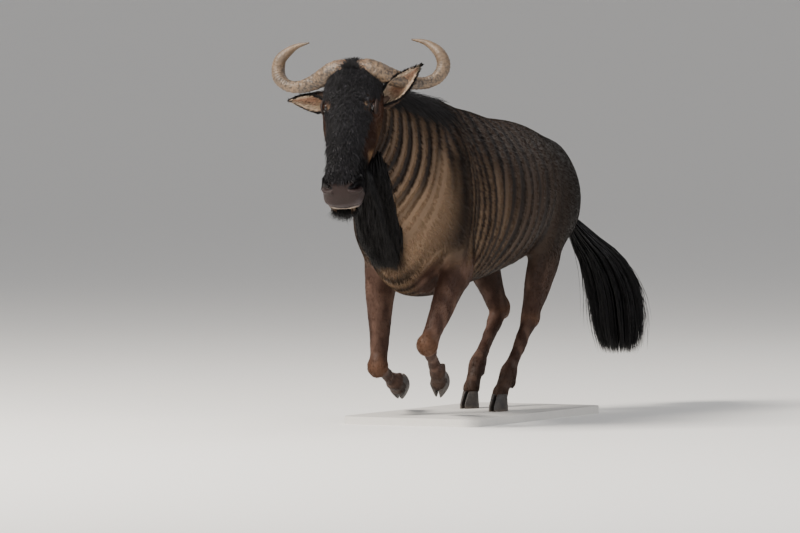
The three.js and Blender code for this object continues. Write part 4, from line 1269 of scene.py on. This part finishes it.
def ear_surface(name, t, a, inner):
    """A point of the ear's cup: t from stalk to tip, a from edge to edge, inner 0 outside and 1 inside."""
    start, way, facing, across = ear_axes(name)
    half = EAR_LENGTH * (0.09 + 0.1 * np.sin(np.pi * np.minimum(1, t * 1.02) ** 0.8)) * (1 - t**5 * 0.82)
    open_to = np.minimum(1, t * 1.4)
    curl = 2.5 + (1.15 - 2.5) * open_to * open_to * (3 - 2 * open_to)
    deep = np.maximum(1.2, half - inner * (5.5 - 3.6 * t))
    radius = deep / np.sin(np.minimum(curl, np.pi / 2))
    turn = a * curl
    along = t * EAR_LENGTH + inner * (1 - t) * 6
    out = -radius * (np.cos(turn) - np.cos(curl))
    side = radius * np.sin(turn)
    return start + MM * (way * along[..., None] + across * side[..., None] + facing * out[..., None])


def make_ear(name):
    """The cup of an ear, its wall closed round the edge, on a stalk, with hair on its faces and its rim."""
    rows, columns = 70, 44
    t = np.linspace(0, 1, rows)[:, None] + np.zeros((1, columns))
    a = np.linspace(-1, 1, columns)[None] + np.zeros((rows, 1))
    outer, inner = ear_surface(name, t, a, 0.0), ear_surface(name, t, a, 1.0)
    start, way, facing, across = ear_axes(name)
    stalk = np.stack([start + MM * (way * along + facing * out) for along, out, _ in EAR_STALK])
    radius = np.array([r for _, _, r in EAR_STALK]) * MM
    around = np.tile(facing, (len(stalk), 1)), np.tile(across, (len(stalk), 1))
    cup = tube(np.concatenate([outer, inner[:, ::-1]], 1))
    points, faces = join_shapes([cup, tube(circles(stalk, *around, radius, radius, 24))])
    made = mesh_object(f"ear_shell_{name}", points, faces)
    run = np.full(len(points), 0.1)
    edge, inside = np.zeros((2, len(points)))
    size = rows * 2 * columns
    run[:size] = np.repeat(np.linspace(0, 1, rows), 2 * columns)
    edge[:size] = np.tile(np.abs(np.concatenate([a[0], a[0][::-1]])), rows)
    inside[:size] = np.tile(np.repeat([0.0, 1.0], columns), rows)
    paint(made, ear_colour(run, edge, inside))
    finished(made, skin_stuff, "ear", f"ear_{name}")
    make_ear_hair(name)
    make_ear_rim(name)


def make_ear_hair(name):
    """Hair towards the tip on both faces, longer inside, where it leans into the opening."""
    start, way, facing, _ = ear_axes(name)
    u, v = rng.random(EAR_HAIRS) ** 0.8, rng.uniform(-0.97, 0.97, EAR_HAIRS)
    which = (rng.random(EAR_HAIRS) < 0.55).astype(float)
    within = which[:, None] > 0
    outer = ear_surface(name, u, v, 0.0)
    p = np.where(within, ear_surface(name, u, v, 1.0), outer)
    pu = ear_surface(name, np.minimum(u + NUDGE, 1), v, 0.0) - outer
    normal = unit(np.cross(pu, ear_surface(name, u, v + NUDGE, 0.0) - outer))
    outward = p - (start + way * (u * EAR_LENGTH * MM)[:, None])
    normal *= np.sign(np.sum(normal * outward, 1, keepdims=True))
    normal = np.where(within, -normal, normal)
    ways = ruffled(unit(pu), normal, 0.25)
    towards = facing - normal * (normal @ facing)[:, None]
    ways = unit(ways + 0.45 * towards * which[:, None])
    long = np.where(which > 0, 0.026, 0.016) * rng.uniform(0.7, 1.3, EAR_HAIRS) * (1.05 - 0.5 * u)
    tone = tinted(ear_colour(u, np.abs(v), which), 0.2)
    width = np.full(EAR_HAIRS, 0.0022)
    blades(f"ear_hair_{name}", p, normal, ways, long, width, 0.18, tone, coat_stuff, 2, slot="ear")


def make_ear_rim(name):
    """A black fringe along both edges."""
    _, _, facing, across = ear_axes(name)
    u = rng.random(RIM_HAIRS)
    v = np.where(rng.random(RIM_HAIRS) < 0.5, -1.0, 1.0)
    p = ear_surface(name, u, v * 0.985, 0.5)
    ahead = ear_surface(name, np.minimum(u + NUDGE, 1), v, 0.5)
    pu = unit(ahead - ear_surface(name, np.maximum(u - NUDGE, 0), v, 0.5))
    normal = unit(facing + across * (v * 0.5)[:, None])
    black = tinted(np.tile(EAR_BLACK, (RIM_HAIRS, 1)), 0.2)
    size = rng.uniform(0.010, 0.020, RIM_HAIRS)
    ways = ruffled(pu, normal, 0.3)
    width = np.full(RIM_HAIRS, 0.0024)
    blades(f"ear_rim_{name}", p, normal, ways, size, width, 0.3, black, coat_stuff, 2, slot="ear")


def ear_colour(run, edge, inside):
    """Cream with a pink-brown middle inside, brown outside, and black along the rim and at the tip."""
    inner = blend(EAR_CREAM, EAR_FLESH, 0.8 * (1 - ramp(0.1, 0.6, edge)) * ramp(0.05, 0.3, run))
    rim = np.maximum(ramp(0.86, 0.97, edge), ramp(0.90, 0.98, run))
    return blend(blend(EAR_BROWN, inner, inside), EAR_BLACK, rim)


# Hooves

CLAW_LEVELS = [[0, 1, 0], [0.3, 0.98, 0], [0.72, 0.78, -0.1], [1, 0.6, -0.16], [1.05, 0.45, -0.18]]
CLAW_OUTER, CLAW_INNER, CLAW_ASIDE = 27, 5.4, 7.5
CLAW_GREY = (0.052, 0.042, 0.036)
CLAW_DARK = (0.020, 0.017, 0.016)
CLAW_WORN = (0.13, 0.10, 0.08)


def make_hooves(name):
    """Two claws: each level is a pointed oval, wide behind and narrow at the toe, with faint growth rings."""
    sole, toe, up = hoof_frame(name)
    left = name.endswith("left")
    for part, side in (("inner", -1 if left else 1), ("outer", 1 if left else -1)):
        outward = np.cross(up, toe) * side
        level = rows_at(CLAW_LEVELS, np.linspace(0, 1, 40))
        height, spread, back = (level[:, i : i + 1] for i in range(3))
        a = np.linspace(0, 2 * np.pi, 64, endpoint=False)[None]
        ahead, aside = np.cos(a), np.sin(a)
        length = np.where(ahead > 0, 0.56, 0.44) * HOOF_LENGTH
        narrow = np.where(ahead > 0, 1 - 0.55 * ahead**2, 1 - 0.12 * ahead**2)
        width = np.where(aside > 0, CLAW_OUTER, CLAW_INNER) * narrow
        rings = 1 + 0.012 * np.sin(height * 38) * ramp(0.08, 0.2, height)
        along = (ahead * spread * rings + back) * length
        across = CLAW_ASIDE + aside * width * (1 - 0.14 * height) * rings
        grid = sole + toe * along[..., None] + up * (height * HOOF_HEIGHT)[..., None]
        grid = grid + outward * across[..., None]
        made = mesh_object(f"claw_{name}_{part}", *tube(grid * MM))
        points = mesh_arrays(made)[0]
        tall = (points - sole * MM) @ up / (HOOF_HEIGHT * MM)
        tone = blend(CLAW_GREY, CLAW_DARK, lattice_noise(points, 0.02, 31))
        tone = blend(tone, CLAW_WORN, 0.6 * ramp(0.25, 0.0, tall) * lattice_noise(points, 0.012, 32))
        paint(made, tone)
        finished(made, hoof_stuff, "hoof", f"{name}_hoof_{part}")


# Making the animal

skin = make_skin()
skin_points, skin_normals, skin_triangles = mesh_arrays(skin)
SKIN_SHADE = 0.8
paint(skin, coat_colour(skin_points) * SKIN_SHADE)
FLESH = ["torso", "neck", "head", "tail_dock"] + [f"{n}_{part}" for n in LEGS for part in ("upper", "lower")]
finished(skin, skin_stuff, "coat", *FLESH)


def wet_nose():
    """Bare, slightly wet skin on the faces of the nose pad, lips and nostrils."""
    middle = np.empty(len(skin.data.polygons) * 3, np.float32)
    skin.data.polygons.foreach_get("center", middle)
    middle = middle.reshape(-1, 3) - OFFSET
    skin.data.materials.append(bare_stuff)
    down = head_place(middle)[0]
    index = ((bare_share(middle) > 0.5) & (down > MUZZLE_START)).astype(np.int32)
    skin.data.polygons.foreach_set("material_index", index)


make_eyes()
for ear_name, ear_side in EYE_SIDES.items():
    make_horn(ear_name, ear_side)
    make_ear(ear_name)
for leg_name in LEGS:
    make_hooves(leg_name)


def bare_share(points):
    """1 where no coat grows on the head: the nose pad, the lips and the eyes."""
    d, l, o = head_place(points)
    head = on_head(points)
    pad = ramp(452, 462, d + 0.35 * np.minimum(o, 0)) * ramp(-74, -66, o)
    eye = 1 - ramp(0.95, 1.1, np.hypot((d - EYE["down"]) / 29, (o - EYE["out"]) / 20))
    eye = eye * (np.abs(l) > 60)
    back = np.clip((MOUTH["front"] - d) / (MOUTH["front"] - MOUTH["corner"]), 0, 1)
    gap = MOUTH["out"] - MOUTH["drop"] * back
    mouth = (d > MUZZLE_START) * (np.abs(o - gap) < 5)
    return head * np.clip(pad + eye + mouth, 0, 1)


def body_density(points):
    """More, smaller tufts on the neck, shoulders and face than on the rump and belly."""
    run = spine_place(points)[0]
    legs = (leg_nearness(points)[0] < 0.14) & (points[:, 2] < 0.6)
    near = 1 + 0.7 * ramp(0.1, 0.6, run)
    near = np.where(legs, 1.5, near) + 2.2 * on_head(points)
    return near * (1 - bare_share(points)) * (points[:, 2] > 0.07)


HAIR_COUNTS = {
    "coat": (30000, 190000),
    "face": (3000, 13000),
    "crown": (300, 1500),
    "mane": (700, 4200),
    "beard": (800, 5500),
    "throat": (600, 3500),
    "chin": (300, 1500),
    "tail": (900, 4600),
}
HAIR_TONES = {
    "face": (0.0105, 0.0100, 0.0118),
    "crown": (0.0085, 0.0080, 0.0092),
    "mane": (0.0090, 0.0082, 0.0090),
    "beard": (0.0080, 0.0074, 0.0078),
    "throat": (0.0070, 0.0065, 0.0068),
    "chin": (0.0080, 0.0074, 0.0078),
    "tail": (0.0072, 0.0068, 0.0074),
}
BODY_TUFT = {"long": 0.017, "longer": 0.004, "wide": 0.0027, "lift": 0.065}
LEG_TUFT = {"long": 0.012, "wide": 0.0020}
HEAD_TUFT = {"long": 0.013, "wide": 0.0020, "lift": 0.05}


def how_many(kind):
    few, full = HAIR_COUNTS[kind]
    return full


def black_hair(kind, count, spread=0.3):
    """A nearly black colour for each blade of a kind of hair."""
    return tinted(np.tile(HAIR_TONES[kind], (count, 1)), spread)


def make_short_coat():
    """Short flat tufts over the whole skin, in the lie of the coat, in several pieces."""
    count = how_many("coat")
    spot, normal = scatter(skin_points, skin_normals, skin_triangles, count, body_density)
    way = ruffled(coat_way(spot, normal), normal, 0.14)
    head = on_head(spot)
    legs = ramp(0.15, 0.11, leg_nearness(spot)[0]) * ramp(0.62, 0.56, spot[:, 2])
    length = BODY_TUFT["long"] + BODY_TUFT["longer"] * ramp(0.2, 0.7, spine_place(spot)[0])
    length = length * (1 - legs) + LEG_TUFT["long"] * legs
    length = length * (1 - head) + HEAD_TUFT["long"] * head
    length = length * rng.uniform(0.7, 1.25, count)
    width = BODY_TUFT["wide"] * (1 - legs) + LEG_TUFT["wide"] * legs
    width = width * (1 - head) + HEAD_TUFT["wide"] * head
    lift = BODY_TUFT["lift"] + HEAD_TUFT["lift"] * head
    tone = tinted(coat_colour(spot), 0.11)
    blades("short_coat", spot, normal, way, length, width, lift, tone, coat_stuff)


def face_density(points):
    """1 on the black front of the face, clear of the eyes and the nose pad."""
    d, l, o = head_place(points)
    front = ramp(-4, 22, o - 0.10 * (d - 140))
    clear = (1 - bare_share(points)) * (1 - eye_patch(d, l, o))
    return on_head(points) * front * ramp(462, 440, d) * clear * ramp(-45, -25, d)


def make_face_hair():
    """Longer black hair down the forehead and nose, in blades that stand out a little and bend down."""
    count = how_many("face")
    spot, normal = scatter(skin_points, skin_normals, skin_triangles, count, face_density)
    d, l, _ = head_place(spot)
    aside = np.sign(l) * ramp(8, 60, np.abs(l))
    way = unit(coat_way(spot, normal) + 0.35 * (HEAD_LEFT * aside[:, None]))
    way = ruffled(unit(way - normal * np.sum(way * normal, 1, keepdims=True)), normal, 0.22)
    length = 0.020 + 0.014 * bump_at(d, 320, 110) + 0.010 * bump_at(d, 10, 60)
    length = length * rng.uniform(0.7, 1.3, count)
    tone = black_hair("face", count, 0.55)
    lift = rng.uniform(0.16, 0.34, count)
    width = np.full(count, 0.0021)
    blades("face_hair", spot, normal, way, length, width, lift, tone, face_stuff, 2, 0.1, slot="face")


def make_crown_tuft():
    """Shaggy hair between the horns, standing up and falling over the forehead."""
    count = how_many("crown")
    d, l = rng.uniform(-36, 4, count), rng.normal(0, 13, count)
    root = head_point(d, l, 22 + 0.8 * (d + 36) - 0.012 * l**2)
    out = FACE_OUT * rng.uniform(0.2, 1.0, count)[:, None]
    way = unit(-FACE_WAY * rng.uniform(0.3, 1.2, count)[:, None] + 0.7 * out + HEAD_LEFT * (l / 30)[:, None])
    normal = unit(np.cross(way, HEAD_LEFT))
    size = rng.uniform(0.016, 0.036, count)
    curl = (FACE_WAY * 0.30 + HEAD_LEFT * rng.normal(0, 0.3, (count, 1))) * size[:, None]
    tone = black_hair("crown", count)
    width = np.full(count, 0.0022)
    blades("crown_hair", root, normal, way, size, width, 0.1, tone, face_stuff, 4, curl=curl, slot="hair")


def line_spots(rows, count):
    """Random places along a row line, the row's numbers at each, and a random share across it."""
    t = rng.uniform(0.0, 1.0, count)
    return t, rows_at(rows, t), rng.uniform(-1, 1, count)


def make_mane():
    """Long locks from the crest: most fall to the sides, and a few stand up and back."""
    count = how_many("mane")
    t, v, tier = line_spots(MANE_LINE, count)
    clump = lattice_noise(np.stack([t * 5, 0 * t, 0 * t], 1), 0.11, 41) - 0.5
    root = v[:, :3] * MM
    root[:, 1] += tier * v[:, 3] * MM * 0.75
    root[:, 2] += -0.030 - 0.012 * np.abs(tier)
    side = np.sign(tier + 0.1)
    stand = 1 - np.abs(tier)
    way = np.stack([-0.55 + 0.5 * clump, side * (0.75 - 0.55 * stand), 0.55 + 0.35 * stand], 1)
    normal = unit(np.stack([0.5 + 0 * tier, side * 0.5, 0.8 + 0 * tier], 1))
    way = ruffled(unit(way - 0.3 * normal), normal, 0.16)
    length = v[:, 4] * MM * rng.uniform(1.1, 1.9, count)
    curl = np.stack([-0.30 * length, side * 0.12 * length, -0.85 * length * (1.15 - 0.55 * stand)], 1)
    tone = black_hair("mane", count, 0.35)
    width = rng.uniform(0.0028, 0.0048, count)
    shape = root, normal, way, length, width, 0.05
    hair = blades("mane_hair", *shape, tone, long_stuff, 5, curl=curl, slot="hair")
    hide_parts("mane")


def throat_density(points):
    """1 along the middle of the throat, below the spine and behind the jaw."""
    below = spine_place(points)[1]
    middle = np.interp(points[:, 0], [0.66, 0.95], [0.0, 0.03])
    near = ramp(0.060, 0.030, np.abs(points[:, 1] - middle))
    behind = (below > 0.08) * (points[:, 0] < 1.0) * (on_head(points) < 0.9)
    return near * ramp(0.67, 0.74, points[:, 0]) * behind


def make_beard():
    """A curtain of long hair down the throat, from the jaw to the chest, and shorter hair on the throat."""
    count = how_many("beard")
    t, v, tier = line_spots(BEARD_LINE, count)
    clump = lattice_noise(np.stack([t * 6, tier * 0.4, 0 * t], 1), 0.12, 43) - 0.5
    root = v[:, :3] * MM
    root[:, 1] += tier * v[:, 3] * MM * 1.5 - 0.010
    root[:, 2] += 0.028 - 0.01 * np.abs(tier)
    way = np.stack([0.10 + 0.35 * clump, tier * 0.12, -1 + 0 * t], 1)
    normal = unit(np.stack([0.3 + 0 * t, np.sign(tier), 0.1 + 0 * t], 1))
    way = ruffled(unit(way), normal, 0.07)
    length = v[:, 4] * MM * rng.uniform(0.75, 1.22, count)
    curl = np.stack([-0.16 * length + 0.1 * clump * length, -0.05 * tier * length, 0 * length], 1)
    tone = black_hair("beard", count)
    width = rng.uniform(0.0030, 0.0056, count)
    shape = root, normal, way, length, width, 0.02
    hair = blades("beard_hair", *shape, tone, long_stuff, 5, curl=curl, slot="hair")
    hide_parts("beard")
    count = how_many("throat")
    spot, normal = scatter(skin_points, skin_normals, skin_triangles, count, throat_density)
    way = unit(np.array([0.12, 0, -1.0]) + 0.35 * normal + rng.normal(0, 0.07, (count, 3)))
    length = np.interp(spot[:, 0], [0.66, 0.75, 0.95], [0.04, 0.10, 0.09]) * rng.uniform(0.7, 1.2, count)
    tone = black_hair("throat", count)
    curl = np.array([-0.15, 0, -0.15]) * length[:, None]
    width = width[:count]
    blades("throat_hair", spot, normal, way, length, width, 0.03, tone, long_stuff, 4, curl=curl, slot="hair")


def make_chin():
    """Bristly hair under the lower lip."""
    count = how_many("chin")
    a = rng.uniform(0, 2 * np.pi, count)
    r = np.sqrt(rng.random(count))
    root = head_point(492 + 16 * r * np.cos(a), 40 * r * np.sin(a), -58 - 6 * r)
    outward = np.stack([np.cos(a), np.sin(a), 0 * a], 1)
    way = unit(np.array([0, 0, -1.0]) + 0.35 * outward * r[:, None] + rng.normal(0, 0.12, (count, 3)))
    normal = unit(np.cross(way, np.cross(way, outward)) * -1 + 1e-6)
    length = rng.uniform(0.030, 0.078, count) * (1.1 - 0.35 * r)
    tone = black_hair("chin", count)
    width = rng.uniform(0.0016, 0.0028, count)
    curl = outward * (rng.uniform(-0.2, 0.25, count) * length)[:, None]
    shape = root, normal, way, length, width, 0.02
    hair = blades("chin_hair", *shape, tone, long_stuff, 4, sag=0.05, curl=curl, slot="hair")
    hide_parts("chin_tuft")


TAIL_LIMIT = -1.165
TAIL_STATIONS = 8


def make_tail():
    """Long black hair that leaves the dock along its lower half and follows the tuft's bend.

    Behind TAIL_LIMIT the hair is drawn in to a quarter of its distance."""
    count = how_many("tail")
    start = rng.uniform(0.0, 0.42, count)
    end = start + (1.04 - start) * rng.uniform(0.40, 1.0, count) ** 0.7
    a = rng.uniform(0, 2 * np.pi, count)
    r = rng.uniform(0.25, 1.0, count) ** 0.6
    lock = np.round(a * 3.4) / 3.4
    a = a + 0.30 * (lock - a)
    stray = 0.5 * (lattice_noise(np.stack([a, r, 3 * start], 1), 0.3, 51) - 0.4)
    stray = stray + 0.45 * (rng.random(count) < 0.06)
    line = []
    for u in np.arange(TAIL_STATIONS) / (TAIL_STATIONS - 1):
        s = start + (end - start) * u
        v = rows_at(TUFT_ROWS, s) * MM
        wide = r * (0.4 + 0.6 * min(1.0, 2.2 * u)) * (1.90 - 0.80 * s) * (1 + stray * u**2)
        p = v[:, :3] + np.stack([v[:, 4] * wide * np.cos(a), v[:, 3] * wide * np.sin(a), 0 * a], 1)
        p = p + np.maximum(s - 1, 0)[:, None] * np.array([-0.02, 0.02, -0.35])
        behind = p[:, 0] - TAIL_LIMIT
        p[:, 0] = TAIL_LIMIT + np.maximum(behind, 0.25 * behind)
        line.append(p)
    line = np.stack(line, 1)
    tone = black_hair("tail", count)
    width = rng.uniform(0.0036, 0.0066, count)
    outward = np.stack([np.cos(a), np.sin(a), 0 * a], 1)
    share = np.array([0.6, *np.linspace(1.0, 0.35, TAIL_STATIONS - 2)])
    home = unwrap(line[:, 0])
    hair = blade_pieces("tail_hair", line, home, outward, width, share, tone, TAIL_SHADES, long_stuff)
    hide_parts("tail_tuft")


wet_nose()
make_short_coat()
make_face_hair()
make_crown_tuft()
make_mane()
make_beard()
make_chin()
make_tail()

# Display base

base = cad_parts["stand_base"]
base_stuff = mottled("stand_paint", rough=0.55, size=25.0, amount=0.10, colour=(0.62, 0.60, 0.57, 1))[0]
base.data.materials.clear()
base.data.materials.append(base_stuff)

# Floor, light and camera


def make_floor():
    """A pale floor that rises into a wall far away: a profile (radius, height) turned round."""
    v = rows_at(np.stack([FLOOR_RADIUS, FLOOR_HEIGHT], 1), np.linspace(0, 1, 60))
    a = np.linspace(0, 2 * np.pi, 96, endpoint=False)
    rings = np.stack([v[:, :1] * np.cos(a), v[:, :1] * np.sin(a), v[:, 1:] + 0 * a], -1)
    count, sides = rings.shape[:2]
    r, k = np.meshgrid(np.arange(count - 1), np.arange(sides), indexing="ij")
    p, q = (r * sides + k).ravel(), (r * sides + (k + 1) % sides).ravel()
    quads = np.stack([p, p + sides, q + sides, q], 1)
    cap = np.stack([np.arange(sides), (np.arange(sides) + 1) % sides, np.full(sides, count * sides)], 1)
    points = np.concatenate([rings.reshape(-1, 3), [[0, 0, 0]]]) - OFFSET * [0, 0, 1]
    floor = mesh_object("floor", points, [quads, cap])
    stuff = bpy.data.materials.new("floor")
    stuff.use_nodes = True
    shader = stuff.node_tree.nodes["Principled BSDF"]
    shader.inputs["Base Color"].default_value = (0.88, 0.865, 0.835, 1)
    shader.inputs["Roughness"].default_value = 0.9
    floor.data.materials.append(stuff)


def area_light(name, place, target, size, power, colour):
    """A soft square light that looks at a point."""
    data = bpy.data.lights.new(name, "AREA")
    data.size = size
    data.energy = power
    data.color = colour
    lamp = bpy.data.objects.new(name, data)
    bpy.context.scene.collection.objects.link(lamp)
    lamp.location = place
    lamp.rotation_euler = (Vector(target) - Vector(place)).to_track_quat("-Z", "Y").to_euler()


VIEW_TURN = math.radians(26.0)
VIEW_FAR, VIEW_EYE, VIEW_FOCAL = 26.0, 1.36, 6812.0
VIEW_DOWN = math.radians(1.778)
VIEW_ASIDE = -68 / 262.0
SENSOR, PHOTO_WIDTH = 36.0, 800
FLOOR_RADIUS = [0.02, 4, 12, 24, 34, 42, 48, 52, 54, 55]
FLOOR_HEIGHT = [0, 0, 0, 0, 0.4, 2.5, 6.5, 12, 19, 28.0]


def make_camera():
    """A long lens at the height of the animal's head, ahead of it and to its left, as in the photograph."""
    right = np.array([-math.sin(VIEW_TURN), math.cos(VIEW_TURN), 0])
    target = right * VIEW_ASIDE
    target[2] = VIEW_EYE - VIEW_FAR * math.tan(VIEW_DOWN)
    ahead = np.array([math.cos(VIEW_TURN), math.sin(VIEW_TURN), 0])
    place = np.array([*(target + VIEW_FAR * ahead)[:2], VIEW_EYE])
    data = bpy.data.cameras.new("camera")
    data.sensor_width = SENSOR
    data.lens = VIEW_FOCAL * SENSOR / PHOTO_WIDTH
    camera = bpy.data.objects.new("camera", data)
    bpy.context.scene.collection.objects.link(camera)
    camera.location = Vector(place + OFFSET)
    camera.rotation_mode = "QUATERNION"
    camera.rotation_quaternion = Vector(target - place).to_track_quat("-Z", "Y")
    bpy.context.scene.camera = camera


make_floor()
LIGHTS = {
    "key": {"place": (6.0, -3.5, 7.0), "target": (0.2, 0, 0.9), "size": 3.0, "power": 1900},
    "fill": {"place": (4.0, 7.0, 3.0), "target": (0.2, 0, 0.8), "size": 5.0, "power": 270},
    "back": {"place": (-6.0, 2.0, 5.0), "target": (0, 0, 0.9), "size": 3.0, "power": 90},
}
WORLD_TINT = (0.95, 0.96, 1.0, 1)
WORLD_STRENGTH = 0.44
LIGHT_TINTS = {"key": (1.0, 0.94, 0.86), "fill": (0.93, 0.96, 1.0), "back": (1.0, 0.98, 0.95)}
for light_name, light in LIGHTS.items():
    area_light(light_name, **light, colour=LIGHT_TINTS[light_name])
world = bpy.data.worlds.new("studio")
world.use_nodes = True
world.node_tree.nodes["Background"].inputs["Color"].default_value = WORLD_TINT
world.node_tree.nodes["Background"].inputs["Strength"].default_value = WORLD_STRENGTH
bpy.context.scene.world = world
make_camera()
